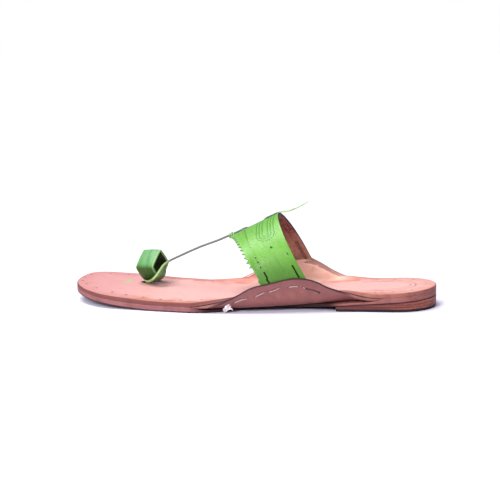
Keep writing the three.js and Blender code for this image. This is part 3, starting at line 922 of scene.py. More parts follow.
@dataclass
class Sole:
    """Outsole with its shank and waist, the stacked heel lift and the dark top piece under it."""

    outsole_rounds: tuple[float, float] = (0.8, 0.06)
    heel_top_round: float = 0.03
    raise_by: float = 0.27
    top_piece: float = 1.6
    top_seam: float = 0.12
    lift_seam: float = 0.01
    # How far an edge stands in from the outsole's, and the radius of its lower corner
    lift_edge: tuple[float, float] = (0.02, 0.1)
    base_edge: tuple[float, float] = (0.45, 0.6)
    recess_depth: float = 2.3
    recess_margin: float = 1.3
    recess_slope: float = 0.7
    stations: int = 230

    def recess(self, x: Array, y: Array) -> Array:
        """How deep the outsole is skived for the ears' flanges at a point of its upper side.

        Args:
            x: Place along the sandal.
            y: Place across it.

        Returns:
            Depth in millimetres.
        """
        at = LAST.at(x)
        side = np.where(y < 0, -1, 1)
        over = smooth((np.abs(y) - LAST.flange_inner(side, at) + self.recess_margin) / self.recess_slope)
        return np.where(LAST.at_ears(at), self.recess_depth * LAST.ear_skive(at) * over, 0)

    def outsole(self) -> Shell:
        """The outsole: z runs from the underside to the top less the recess.

        Returns:
            The layer.
        """

        def place(x: Array, y: Array, share: float, above: float) -> Array:
            """Point between the underside and the skived upper side.

            Args:
                x: Place along the sandal.
                y: Place across it.
                share: Share of the thickness.
                above: Height over that share.

            Returns:
                Array of (..., 3).
            """
            at = np.clip(LAST.at(x), 0, 1)
            bottom = LAST.underside(at)
            top = LAST.outsole_top(at) + self.raise_by - self.recess(x, y)
            return np.stack([x, y, bottom + (top - bottom) * share + above], -1)

        outline = Outline.of(LAST.outsole_edge, self.stations)
        return layer_shell(outline, place, self.outsole_rounds, (24, 8, 8))

    def heel(self, low: Height, high: Height, inset: float, r: float) -> Shell:
        """One layer of the heel between two heights, cut square at the breast.

        Args:
            low: Height of its underside by station.
            high: Height of its upper side by station.
            inset: How far its edge stands in from the outsole's.
            r: Radius of its lower edge.

        Returns:
            The layer.
        """

        def edge(side: Array, at: Array) -> Array:
            """Y of the outsole's edge moved in."""
            return LAST.outsole_edge(side, at) - side * inset * LAST.rounding(at)

        def place(x: Array, y: Array, share: float, above: float) -> Array:
            """Point between the two heights.

            Args:
                x: Place along the sandal.
                y: Place across it.
                share: Share of the thickness.
                above: Height over that share.

            Returns:
                Array of (..., 3).
            """
            at = np.clip(LAST.at(x), 0, 1)
            return np.stack([x, y, low(at) + (high(at) - low(at)) * share + above], -1)

        outline = Outline.of(edge, self.stations // 2, LAST.breast_at)
        return layer_shell(outline, place, (r, self.heel_top_round), (16, 7, 5))

    def build(self, looks: Finishes) -> list[bpy.types.Object]:
        """The three layers as pieces.

        Args:
            looks: Finishes of the sandal.

        Returns:
            The pieces.
        """
        foot, seam = self.top_piece + self.top_seam, self.lift_seam
        lift = self.heel(lambda at: foot + 0 * at, lambda at: LAST.underside(at) - seam, *self.lift_edge)
        base = self.heel(lambda at: 0 * at, lambda at: self.top_piece + 0 * at, *self.base_edge)
        return [
            make_piece("outsole_leather", self.outsole(), looks.sole, "outsole"),
            make_piece("heel_stack", lift, looks.heel, "heel_lift"),
            make_piece("heel_bottom_layer", base, looks.bottom, "heel_top_piece"),
        ]


@dataclass
class Insole:
    """The pink-tan sheet that the foot stands on, turned up at the waist as two wings."""

    edge_rounds: tuple[float, float] = (0.12, 0.6)
    unevenness: float = 0.12
    unevenness_lengths: tuple[float, float] = (14.0, 10.0)
    stations: int = 260
    hole_inset: float = 8.0
    hole_pitch: float = 13.0
    # Place along the sandal, distance from y = 0 along the sheet, and size
    outer_holes: Marks = (
        (-125.2, -4.4, 0.9),
        (-120.1, -12.8, 1.0),
        (-110.9, -20.6, 1.0),
        (-97.8, -28.0, 1.1),
        (-87.0, -31.8, 1.1),
        (-74.4, -34.0, 1.2),
        (-61.4, -37.2, 1.2),
        (-47.0, -38.0, 1.0),
        (-32.7, -36.2, 1.0),
        (-17.5, -33.6, 0.8),
        (-124.7, 19.7, 0.9),
        (-126.0, 7.0, 0.8),
        (86.75, -22.4, 1.0),
        (72.4, -20.4, 0.6),
        (61.0, -18.4, 0.7),
        (65.0, -18.6, 0.6),
    )
    wing_creases: tuple[Line, ...] = (
        ((33.9, 41.4), (38.2, 40.9), (41.9, 39.3)),
        ((44.6, 37.8), (47.4, 36.6), (50.5, 34.7)),
    )
    crease_breadth: float = 2.0
    inner_rows: Line = ((-113.0, -24.0), (74.0, 116.0))
    outer_row: tuple[float, float] = (99.0, 116.0)
    heel_hole: tuple[float, float] = (121.5, 0.0)
    row_hole: float = 0.7
    stain: tuple[float, float] = (-94.9, 13.6)
    stain_size: tuple[float, float] = (3.4, 11.0)
    # Line of the ring's slit, round which the ring's shadow is painted dark on the insole
    ring_slit_and_shadow_line: Line = ((-82.6, 16.5), (-75.6, 24.5))

    def holes(self) -> Marks:
        """Places and sizes of the punched holes: the seen ones, and rows at an even pitch on both sides.

        Returns:
            Rows of x, reach and size.
        """
        x = np.concatenate([np.arange(*stretch, self.hole_pitch) for stretch in self.inner_rows])
        reach = LAST.edge(1, LAST.at(x)) - self.hole_inset
        outer = np.arange(*self.outer_row, self.hole_pitch)
        outer_reach = LAST.edge(-1, LAST.at(outer)) + self.hole_inset
        rows = [*zip(x, reach), *zip(outer, outer_reach), self.heel_hole]
        return self.outer_holes + tuple((float(a), float(b), self.row_hole) for a, b in rows)

    def shell(self) -> Shell:
        """Layer over the developed sheet, bent up at the sides.

        Its value "marks" holds the offset to the nearest hole and the distance from the rim, and "lines" the
        distance to the nearest scored line, from the stain in units of its size, and from the ring's slit,
        round which the ring's shadow is painted.

        Returns:
            The layer.
        """

        def place(x: Array, y: Array, share: float, above: float) -> Array:
            """Point of the sheet, with a faint unevenness of the upper side.

            Args:
                x: Place along the sandal.
                y: Distance from y = 0 along the sheet.
                share: Share of the thickness.
                above: Height over that share.

            Returns:
                Array of (..., 3).
            """
            at = np.clip(LAST.at(x), 0, 1)
            thickness = LAST.insole_thickness * LAST.skive(at)
            long, wide = self.unevenness_lengths
            relief = self.unevenness * ripple(x / long, y / wide, 5) * share
            return LAST.on_insole(x, y, thickness * (share - 0.5) + above + relief)

        outline = Outline.of(LAST.insole_rim, self.stations)
        shell = layer_shell(outline, place, self.edge_rounds, (10, 5, 64))
        x, y, _ = shell.values["plan"].T
        loop = tuple(zip(outline.x, outline.y))
        rim = line_distance(x, y, loop + loop[:1])
        away = np.min([line_distance(x, y, line) for line in self.wing_creases], axis=0)
        stain = np.hypot((x - self.stain[0]) / self.stain_size[0], (y - self.stain[1]) / self.stain_size[1])
        shell.values["marks"] = np.column_stack([near_mark(x, y, self.holes()), rim])
        creases = away / self.crease_breadth
        shell.values["lines"] = np.column_stack([creases, stain, line_distance(x, y, self.ring_slit_and_shadow_line)])
        return shell

    def build(self, looks: Finishes) -> list[bpy.types.Object]:
        """The insole as a piece."""
        return [make_piece("insole_leather_sheet", self.shell(), looks.insole, "insole")]


@dataclass
class Ear:
    """One side ear: a flange under the insole, a bend, a wall outside the wing, and its thong stitches."""

    side: Side
    stations: int = 240
    tip_margin: float = 0.001
    edge_round: float = 0.55
    thong_width: float = 0.85
    thong_thickness: float = 0.6
    thong_unevenness: float = 0.12
    thong_rise: float = 0.252
    thong_dip: float = 1.3
    # Place along the sandal, and distance along the ear's sheet
    stitches: tuple[Line, ...] = (
        ((-9.2, 9.0), (-4.3, 10.6), (0.9, 11.4)),
        ((5.4, 12.1), (9.2, 13.9), (12.5, 15.2)),
        ((14.3, 15.1), (18.4, 16.0), (22.4, 17.8)),
        ((27.7, 17.6), (31.4, 18.0), (35.0, 17.8)),
        ((37.9, 16.9), (39.2, 16.0)),
    )
    groove: Line = ((39.5, 16.0), (44.2, 14.6), (49.1, 12.5))
    end_hole: Marks = ((48.6, 12.2, 0.85),)
    knot: tuple[float, float] = (-13.6, 6.2)
    knot_size: tuple[float, float] = (2.9, 3.5)
    knot_grid: tuple[int, int] = (30, 44)
    knot_lobe: float = 0.3
    knot_crumple: float = 0.5
    knot_end_width: float = 1.5
    knot_end_taper: float = 0.45
    knot_ends: Marks = ((3.9, -1.5, 0.9), (-2.2, -3.2, 0.5), (2.0, 3.4, 0.4))

    def shell(self) -> Shell:
        """Rings round the ear's section, from its front point to its rear one.

        Each ring runs up the inner face, over the rounded top edge, down the outer face and round the
        flange's end. The value "plan" holds x, the distance along the sheet and the depth below the inner
        face, "marks" the offset to the end hole and the distance below the top edge, and "lines" the distance
        to the open groove and to the stitches, and the depth again.

        Returns:
            The surface.
        """
        share = np.linspace(0, 1, self.stations) * (1 - 2 * self.tip_margin) + self.tip_margin
        at = LAST.ear_front + (LAST.ear_rear - LAST.ear_front) * share
        side = self.side.value
        angle, radius, start = LAST.bend(side, at)
        bend = (radius + LAST.ear_step) * angle
        low = LAST.flange_inner(side, at) - start - LAST.pocket(at)
        high = bend + LAST.ear_wall(side, at)
        thickness = LAST.ear_thickness * LAST.ear_skive(at)
        r = np.minimum(self.edge_round, thickness * 0.49)
        face = np.concatenate([np.linspace(0, 0.3, 6)[:-1], np.linspace(0.3, 1, 38)])
        turn = np.linspace(0, np.pi / 2, 5)
        inner = (low + r)[:, None] + (high - low - 2 * r)[:, None] * face
        low, high, thickness, r = low[:, None], high[:, None], thickness[:, None], r[:, None]
        parts = [
            (inner, 0 * inner),
            (high - r * (1 - np.sin(turn)), r * (1 - np.cos(turn))),
            (high - r * (1 - np.cos(turn)), thickness - r * (1 - np.sin(turn))),
            (inner[:, ::-1], thickness + 0 * inner),
            (low + r * (1 - np.sin(turn)), thickness - r * (1 - np.cos(turn))),
            (low + r * (1 - np.cos(turn)), r * (1 - np.sin(turn))),
        ]
        reach, depth = (np.concatenate([part[n] for part in parts], 1) for n in (0, 1))
        x = np.broadcast_to(LAST.x(at)[:, None], reach.shape)
        rings = LAST.on_ear(x, reach, side, LAST.ear_thickness / 2 - depth)
        shell = ring_shell(np.stack([drawn_together(rings[0]), *rings, drawn_together(rings[-1])]))
        column = np.arange(len(shell.faces)) % reach.shape[1]
        faces, rim = inner.shape[1], 2 * len(turn) - 1
        cut = (column >= faces - 1) & (column < faces + rim) | (column >= 2 * faces + rim)
        shell.places = np.where(cut, Face.CUT.value, Face.GRAIN.value)
        hole = near_mark(x, reach, self.end_hole)
        below = np.broadcast_to(high, reach.shape) - reach
        thong_shadow = np.min([line_distance(x, reach, line) for line in self.stitches], axis=0)
        values = {
            "plan": np.stack([x, reach, depth], -1),
            "marks": np.concatenate([hole, below[..., None]], -1),
            "lines": np.stack([line_distance(x, reach, self.groove), thong_shadow, depth], -1),
        }
        shell.values = {key: np.concatenate([v[:1], v, v[-1:]]).reshape(-1, 3) for key, v in values.items()}
        return shell

    def stitching(self) -> Shell:
        """Short thongs on the outer face, whose ends dip into the leather.

        A thong's middle line is the stitch's curve on the ear's sheet, lifted by the thongs' rise and let
        down at both ends by (1 - sin)^3 times their dip.

        Returns:
            All the thongs.
        """
        thongs = []
        for stitch in self.stitches:
            flat = spline(np.column_stack([stitch, np.zeros(len(stitch))]), 26)
            share = np.linspace(0, 1, len(flat))
            lift = self.thong_rise - self.thong_dip * (1 - np.sin(np.pi * share)) ** 3
            x, reach = flat[:, 0], flat[:, 1]
            path = LAST.on_ear(x, reach, self.side.value, -LAST.ear_thickness / 2 - lift)
            up = unit(path - LAST.on_ear(x, reach, self.side.value, np.zeros_like(x)))
            uneven = ripple(share * 9, share * 0, len(thongs))
            wide = self.thong_width * (1 + self.thong_unevenness * uneven)
            thongs.append(strip_shell(path, up, wide, self.thong_thickness))
        return Shell.joined(thongs)

    def knot_shell(self) -> Shell:
        """Crumpled knot of raw hide at the front of the seam, with three short ends.

        The body is a ball flattened against the ear, whose radius swells in three lobes as cos 3a sin^2 b and
        is crumpled by a ripple. Each end is a short flat strip.

        Returns:
            The knot.
        """
        side = self.side.value
        x, reach = (np.array(v) for v in self.knot)
        foot = LAST.on_ear(x, reach, side, -LAST.ear_thickness / 2)
        out = unit(foot - LAST.on_ear(x, reach, side, np.array(0.0)))
        out = unit(out * [1, 1, 0.25])
        forward, rise = np.array([1.0, 0.0, 0.0]), np.array([0.0, 0.0, 1.0])
        rows, around = self.knot_grid
        b, a = np.meshgrid(np.linspace(0, np.pi, rows), np.arange(around) / around * 2 * np.pi, indexing="ij")
        swell = 1 + self.knot_lobe * np.cos(3 * a + 0.6) * np.sin(b) ** 2
        folds = ripple(np.cos(a) * np.sin(b) * 4.4, np.sin(a) * np.sin(b) * 4.4, 8, 9)
        crumple = self.knot_crumple * np.abs(folds) * np.sin(b)
        radius = (swell - crumple) * np.sin(b)
        flat = np.cos(b) * (1 - 0.35 * np.abs(ripple(a * 1.5, b * 2, 4)) * np.sin(b))
        rings = (
            foot
            + forward * (self.knot_size[0] * radius * np.cos(a))[..., None]
            + rise * (self.knot_size[1] * radius * np.sin(a))[..., None]
            + out * (0.7 + 1.2 * flat)[..., None]
        )
        body = ring_shell(rings)
        share = np.linspace(0, 1, 12)
        ends = []
        for dx, dz, bow in self.knot_ends:
            line = (
                foot
                + forward * (dx * share)[:, None]
                + rise * (dz * share + bow * np.sin(np.pi * share))[:, None]
                + out * (1.1 + 0.5 * np.sin(3 * share))[:, None]
            )
            wide = self.knot_end_width * (1 - self.knot_end_taper * share)
            ends.append(strip_shell(line, out, wide, self.thong_thickness))
        return Shell.joined([body, *ends])

    def build(self, looks: Finishes) -> list[bpy.types.Object]:
        """The ear, its stitches and its knot as pieces.

        Args:
            looks: Finishes of the sandal.

        Returns:
            The pieces.
        """
        name = "ear_" + self.side.name.lower()
        return [
            make_piece(name + "_leather", self.shell(), looks.ear, name),
            make_piece(name + "_stitches", self.stitching(), looks.thong),
            make_piece(name + "_hide_knot", self.knot_shell(), looks.hide),
        ]


@dataclass
class Band:
    """The green instep band: an arch of leather with a pinked front edge and slit, tucked ends."""

    front_height: float = 47.5
    rear_height: float = 63.5
    top_run: float = 32.6
    front_backset: float = 113.4
    front_tilt: float = 41.7
    rear_tilt: float = 29.5
    scoop: float = 5.6
    scoop_reach: float = 1.15
    scoop_power: float = 0.78
    tuck: float = 7.0
    arch_share: float = 0.88
    unevenness: float = 0.2
    row_pitch: float = 0.5
    tooth_pitch: float = 4.2
    tooth_steps: int = 8
    tooth_depth: float = 2.1
    tooth_power: float = 1.35
    tooth_fade: float = 0.06
    crest_reach: float = 0.55
    crest_growth: float = 0.7
    pinked_share: float = 0.8
    slit_width: float = 1.25
    slit_length: float = 10.5
    # Middle of a slit as a share of the band's width, and share of the slits' length
    slits: Line = ((0.2, 0.86), (0.865, 1.0))
    # Dark sheets behind the slits that paint the shade in them: half width, gap, thickness and margins
    lining_half: float = 1.3
    lining_gap: float = 0.12
    lining_thickness: float = 0.5
    lining_margins: tuple[float, float] = (2.5, 0.9)
    lace_slits: tuple[float, ...] = (0.375, 0.65)
    lace_slit_size: tuple[float, float] = (3.6, 2.2)
    # Millimetres from the front edge, millimetres from the crest, and size
    holes: Marks = (
        (22.4, 39.3, 1.25),
        (6.3, 42.5, 0.9),
        (6.5, 46.3, 1.1),
        (6.7, 50.2, 0.9),
        (32.3, 46.3, 0.9),
    )
    loop_bottom: float = 27.0
    loop_middle: float = 27.4
    loop_lean: float = 0.2
    loop_spread: float = 0.12
    loop_round: float = 1.15

    @property
    def width(self) -> float:
        """Width of the leather from its front edge to its rear edge."""
        return float(np.hypot(self.top_run, self.rear_height - self.front_height))

    def rail(self, across: Array) -> tuple[Array, Array, Array, Array]:
        """Crest point and downward direction, in X and Z, at a share of the band's width.

        Args:
            across: Share of the band's width.

        Returns:
            X and Z of the point, and X and Z of the direction.
        """
        tilt = np.radians(self.front_tilt + (self.rear_tilt - self.front_tilt) * across)
        x = self.front_backset - LAST.length / 2 + self.top_run * across
        z = self.front_height + (self.rear_height - self.front_height) * across
        rise = np.arctan2(self.rear_height - self.front_height, self.top_run)
        half = LAST.band_thickness / 2
        return x + half * np.sin(rise), z - half * np.cos(rise), np.sin(tilt), -np.cos(tilt)

    def pocket_y(self, side: Array, x: Array, z: Array) -> Array:
        """Distance from y = 0 of the band's middle surface where it lies between wing and ear.

        Args:
            side: -1 or 1.
            x: Place along the sandal.
            z: Height.

        Returns:
            The distance.
        """
        at = LAST.at(x)
        angle, radius, start = LAST.bend(side, at)
        bend_top = LAST.insole_middle(at) + radius * (1 - np.cos(angle))
        height = np.minimum(z, LAST.ear_top(side, at)) - bend_top
        wall_y = start + radius * np.sin(angle) + height / np.tan(angle)
        return wall_y + (LAST.insole_thickness / 2 + LAST.seam + LAST.band_thickness / 2) / np.sin(angle)

    def drop_to_ear(self, side: Array, across: Array) -> Array:
        """Distance down a rail at which it passes the ear's top edge, by repeated half steps.

        Args:
            side: -1 or 1.
            across: Share of the band's width.

        Returns:
            The distance.
        """
        crest_x, crest_z, down_x, down_z = self.rail(across)
        drop = np.full(np.shape(across * np.ones_like(side)), self.front_height / 2)
        for _ in range(40):
            x = crest_x + drop * down_x
            drop = drop + (crest_z + drop * down_z - LAST.ear_top(side, LAST.at(x))) / 2
        return drop

    def drop_along(self, side: Array, across: Array, signed: Array) -> Array:
        """Distance down a rail: half an arch of 1 - cos to a quarter turn, and then evenly to the tucked end.

        Args:
            side: -1 or 1.
            across: Share of the band's width.
            signed: -2 at the outer end, 0 at the crest, 2 at the inner end.

        Returns:
            The distance.
        """
        to_ear = self.drop_to_ear(side, across)
        arch = self.arch_share * to_ear
        turn = np.minimum(1, np.abs(signed)) * np.pi / 2
        return arch * (1 - np.cos(turn)) + np.maximum(0, np.abs(signed) - 1) * (to_ear + self.tuck - arch)

    def at(self, across: Array, signed: Array) -> Array:
        """Point on the band's middle surface: down its rail, while Y grows as the sine of the arch's turn.

        Args:
            across: Share of the band's width, from its front edge to its rear edge.
            signed: -2 at the outer end, 0 at the crest, 2 at the inner end.

        Returns:
            Array of (..., 3).
        """
        side = np.where(signed < 0, -1, 1)
        crest_x, crest_z, down_x, down_z = self.rail(across)
        drop = self.drop_along(side, across, signed)
        x, z = crest_x + drop * down_x, crest_z + drop * down_z
        turn = np.minimum(1, np.abs(signed)) * np.pi / 2
        return np.stack([x, side * self.pocket_y(side, x, z) * np.sin(turn), z], -1)

    def scoop_at(self, signed: Array) -> Array:
        """Share of the width by which the front edge is scooped back on either side of the crest."""
        share = np.clip(np.abs(signed) / self.scoop_reach, 0, 1)
        return self.scoop / self.width * np.sin(np.pi * share**self.scoop_power)

    def place(self, across: Array, signed: Array) -> Array:
        """Point of the middle surface, with the share of the width counted from the scooped front edge."""
        scoop = self.scoop_at(signed)
        return self.at(scoop + (1 - scoop) * across, signed)

    def normal(self, across: Array, signed: Array) -> Array:
        """Outward unit normal: the cross product of small steps across and along the band.

        Args:
            across: Share of the band's width.
            signed: Place along it, as for at().

        Returns:
            Array of (..., 3).
        """
        step = 0.01
        before, after = np.maximum(-2, signed - step), np.minimum(2, signed + step)
        front, rear = np.maximum(0, across - step), np.minimum(1, across + step)
        along = self.place(across, after) - self.place(across, before)
        over = self.place(rear, signed) - self.place(front, signed)
        return unit(np.cross(over, along))

    def steps(self, side: Side, length: float) -> Array:
        """Signed shares whose points lie a given length apart along the front edge.

        Args:
            side: Side of the crest.
            length: Length of a step.

        Returns:
            Shares from the crest outwards.
        """
        fine = np.linspace(0, 2, 1200)
        path = self.at(np.zeros_like(fine), side.value * np.maximum(fine, 1e-9))
        walked = distance_run(path)
        count = int(round(walked[-1] / length))
        return side.value * np.interp(np.linspace(0, walked[-1], count + 1), walked, fine)

    def kept(self, across: Array, signed: Array, run: Array) -> Array:
        """Which cells of the band are left standing by its own slits and by the lace's.

        Args:
            across: Shares of the grid's rows.
            signed: Shares of its columns.
            run: Distance of each column from the crest.

        Returns:
            Array of (rows - 1, columns - 1).
        """
        cell_across = (across[1:] + across[:-1]) / 2
        cell_run = np.abs(run[1:] + run[:-1]) / 2
        keep = np.ones((len(cell_across), len(cell_run)), bool)
        for side in Side:
            for centre, length in self.slits:
                to_ear = self.drop_to_ear(np.array(side.value), np.array(centre))
                drop = self.drop_along(np.array(side.value), centre, signed)
                columns = (np.sign(signed) == side.value) & (drop > to_ear - self.slit_length * length)
                rows = np.abs(cell_across - centre) < self.slit_width / self.width / 2
                keep &= ~np.outer(rows, columns[1:] & columns[:-1])
        for centre in self.lace_slits:
            rows = np.abs(cell_across - centre) * self.width < self.lace_slit_size[0] / 2
            keep &= ~np.outer(rows, cell_run < self.lace_slit_size[1] / 2)
        return keep

    def loop_field(self, across: Array, run: Array) -> Array:
        """Distance from the middle line of the tooled loops, or from its lower end past the bottom.

        The middle line leans forward as it goes down, and a loop is a curve of one such distance.

        Args:
            across: Millimetres from the front edge.
            run: Millimetres from the crest.

        Returns:
            The distance.
        """
        down = np.minimum(np.abs(run), self.loop_bottom)
        middle = self.loop_middle - self.loop_lean * down
        beyond = np.maximum(np.abs(run) - self.loop_bottom, 0)
        spread = 1 - self.loop_spread * down / self.loop_bottom
        return np.hypot((across - middle) * spread, beyond * self.loop_round)

    def shell(self) -> Shell:
        """The band: a grid of rails by steps along them, toothed at its front edge and parted by its slits.

        A tooth is a triangle wave along the front edge, raised to a power to point it. The value "plan"
        holds millimetres across and along and the loops' field, and "marks" the offset to the nearest hole
        and millimetres down from the crest.

        Returns:
            The sheet.
        """
        fine = self.tooth_pitch / self.tooth_steps
        signed = np.concatenate([self.steps(Side.LATERAL, fine)[:0:-1], self.steps(Side.MEDIAL, fine)])
        crest = len(self.steps(Side.LATERAL, fine)) - 1
        half_slit = self.slit_width / self.width / 2
        marks = np.sort([0, 1] + [a + s * half_slit for a, _ in self.slits for s in (-1, 1)])
        rows = np.maximum(2, (np.diff(marks) * self.width / self.row_pitch).astype(int) + 1)
        across = [np.linspace(a, b, count)[:-1] for a, b, count in zip(marks, marks[1:], rows)]
        across = np.concatenate([*across, [1.0]])
        grid_across, grid_signed = np.meshgrid(across, signed, indexing="ij")
        middle = self.place(grid_across, grid_signed)
        normal = self.normal(grid_across, grid_signed)
        front = self.place(0 * grid_across, grid_signed)
        outward = unit(front - self.place(0 * grid_across + 0.1, grid_signed))
        order = np.arange(len(signed)) - crest
        tooth = (1 - np.abs((order / self.tooth_steps + 0.5) % 1 * 2 - 1)) ** self.tooth_power
        tooth = np.where(np.abs(signed) < self.pinked_share, tooth, 0)
        fade = np.clip(1 - grid_across / self.tooth_fade, 0, 1)
        near_crest = np.clip(1 - np.abs(grid_signed) / self.crest_reach, 0, 1)
        depth = self.tooth_depth * (1 + self.crest_growth * near_crest)
        middle = middle + outward * (fade * tooth * depth)[..., None]
        half = LAST.band_thickness / 2
        relief = self.unevenness * ripple(grid_across * 2.6, grid_signed * 2.2, 11)
        upper = middle + normal * (half + relief)[..., None]
        lower = middle - normal * half
        run = distance_run(middle[len(across) // 2])
        run = run - run[crest]
        shell = sheet_shell(upper, lower, self.kept(across, signed, run))
        run = np.broadcast_to(run, grid_across.shape)
        millimetres = grid_across * self.width
        field = self.loop_field(millimetres, run)
        hole = near_mark(millimetres, np.abs(run), self.holes, 1.9)
        plan = np.stack([millimetres, run, field], -1).reshape(-1, 3)
        spots = np.concatenate([hole, np.abs(run)[..., None]], -1).reshape(-1, 3)
        shell.values = {"plan": np.concatenate([plan, plan]), "marks": np.concatenate([spots, spots])}
        return shell

    def lining(self) -> Shell:
        """Dark strips behind the slits, painted shade that darkens them, from above each slit to just over
        the wing's edge.

        Returns:
            The strips.
        """
        strips = []
        for side in Side:
            for centre, length in self.slits:
                to_ear = float(self.drop_to_ear(np.array(side.value), np.array(centre)))
                fine = np.linspace(0.3, 2, 600)
                drop = self.drop_along(np.array(side.value), centre, side.value * fine)
                top = to_ear - self.slit_length * length - self.lining_margins[0]
                end = to_ear + LAST.wing_drop - self.lining_margins[1]
                signed = side.value * np.interp(np.linspace(top, end, 24), drop, fine)
                across = centre + np.linspace(-self.lining_half, self.lining_half, 8) / self.width
                across, signed = np.meshgrid(np.clip(across, 0.02, 0.98), signed, indexing="ij")
                middle, normal = self.place(across, signed), self.normal(across, signed)
                near = LAST.band_thickness / 2 + self.lining_gap
                far = near + self.lining_thickness
                strips.append(sheet_shell(middle - normal * near, middle - normal * far))
        return Shell.joined(strips)

    def build(self, looks: Finishes) -> list[bpy.types.Object]:
        """The band and the dark sheets of painted shade behind its slits as pieces.

        Args:
            looks: Finishes of the sandal.

        Returns:
            The pieces.
        """
        return [
            make_piece("instep_band_leather", self.shell(), looks.band, "instep_band", 0.2),
            make_piece("band_slit_lining", self.lining(), looks.lining),
        ]


def strip_section(width: float, thickness: float, r: float, crown: float) -> tuple[Array, Array, Array]:
    """Profile of a flat strip: crowned outer side, rounded edges, and an inner side bowed half as much.

    Args:
        width: Width of the strip.
        thickness: Thickness at its edges.
        r: Radius of its edges.
        crown: Rise of the outer side, as 1 - s^2 across it.

    Returns:
        Place across, height, and whether the face that starts there is on an edge.
    """
    s, t = np.linspace(-1, 1, 15), np.linspace(0, np.pi / 2, 5)[1:]
    flat, half = width / 2 - r, thickness / 2
    bulge = crown * (1 - s**2)
    parts = [
        (flat * s, half + bulge),
        (flat + r * np.sin(t), half - r + r * np.cos(t)),
        (flat + r * np.cos(t), -half + r - r * np.sin(t)),
        (-flat * s[1:], -half + 0.5 * bulge[1:]),
        (-flat - r * np.sin(t), -half + r - r * np.cos(t)),
        (-flat - r * np.cos(t[:-1]), half - r + r * np.sin(t[:-1])),
    ]
    across, height = (np.concatenate([part[n] for part in parts]) for n in (0, 1))
    return across, height, np.abs(across) > flat - 1e-6


@dataclass
class ToeRing:
    """The glossy strip bent into a square that stands on one corner."""

    width: float = 14.8
    tilt: float = 5.0
    half_diagonal: float = 11.8
    thickness: float = 1.6
    turn: float = 21.0
    backset: float = 44.2
    offset: float = 20.0
    squareness: float = 1.13
    crown: float = 0.28
    edge_round: float = 0.55

    @property
    def middle(self) -> Array:
        """Middle of the ring's toe side opening."""
        at = self.backset / LAST.length
        return np.array([LAST.x(at), self.offset, LAST.insole_top(at) + LAST.seam + self.half_diagonal])

    def loop(self, count: int) -> tuple[Array, Array, Array]:
        """Evenly spaced points of the superellipse |u|^s + |v|^s = 1 of the named squareness, a little eased.

        Args:
            count: Number of points.

        Returns:
            The two coordinates and the distance run.
        """
        turn = np.linspace(0, 2 * np.pi, 4000, endpoint=False)
        power = 2 / self.squareness
        half = self.half_diagonal - self.thickness * np.sqrt(2) / 2
        u, v = (half * np.sign(f(turn)) * np.abs(f(turn)) ** power for f in (np.cos, np.sin))
        walked = distance_run(np.column_stack([u, v]))
        even = np.linspace(0, walked[-1], count, endpoint=False)
        u, v = np.interp(even, walked, u), np.interp(even, walked, v)
        for _ in range(5):
            u, v = ((np.roll(w, 1) + 2 * w + np.roll(w, -1)) / 4 for w in (u, v))
        return u, v, even

    def shell(self) -> Shell:
        """The strip's profile carried round the loop, then turned about Z toward the outer side.

        Returns:
            The ring, with the distance round it, across it and off its middle as its value "plan".
        """
        u, v, even = self.loop(240)
        du, dv = (np.roll(w, -1) - np.roll(w, 1) for w in (u, v))
        length = np.hypot(du, dv)
        across, height, edge = strip_section(self.width, self.thickness, self.edge_round, self.crown)
        along = np.broadcast_to(across + self.width / 2, (len(u), len(across)))
        aside = u[:, None] + (dv / length)[:, None] * height
        above = v[:, None] - (du / length)[:, None] * height + along * np.sin(np.radians(self.tilt))
        a = np.radians(-self.turn)
        turned = [along * np.cos(a) - aside * np.sin(a), along * np.sin(a) + aside * np.cos(a), above]
        points = np.stack(turned, -1) + self.middle
        faces = grid_faces(len(u), len(across), wrap_rows=True, wrap_columns=True)
        face = np.where(height < 0, Face.FLESH.value, Face.GRAIN.value)
        place = np.where(edge & np.roll(edge, -1), Face.CUT.value, face)
        places = np.tile(place, len(u))
        shell = Shell(points.reshape(-1, 3), faces, places).facing_out()
        plan = np.stack(np.broadcast_arrays(even[:, None], across, height), -1)
        shell.values = {"plan": plan.reshape(-1, 3)}
        return shell

    def build(self, looks: Finishes) -> list[bpy.types.Object]:
        """The ring as a piece."""
        return [make_piece("toe_ring_strip", self.shell(), looks.ring, "toe_ring")]


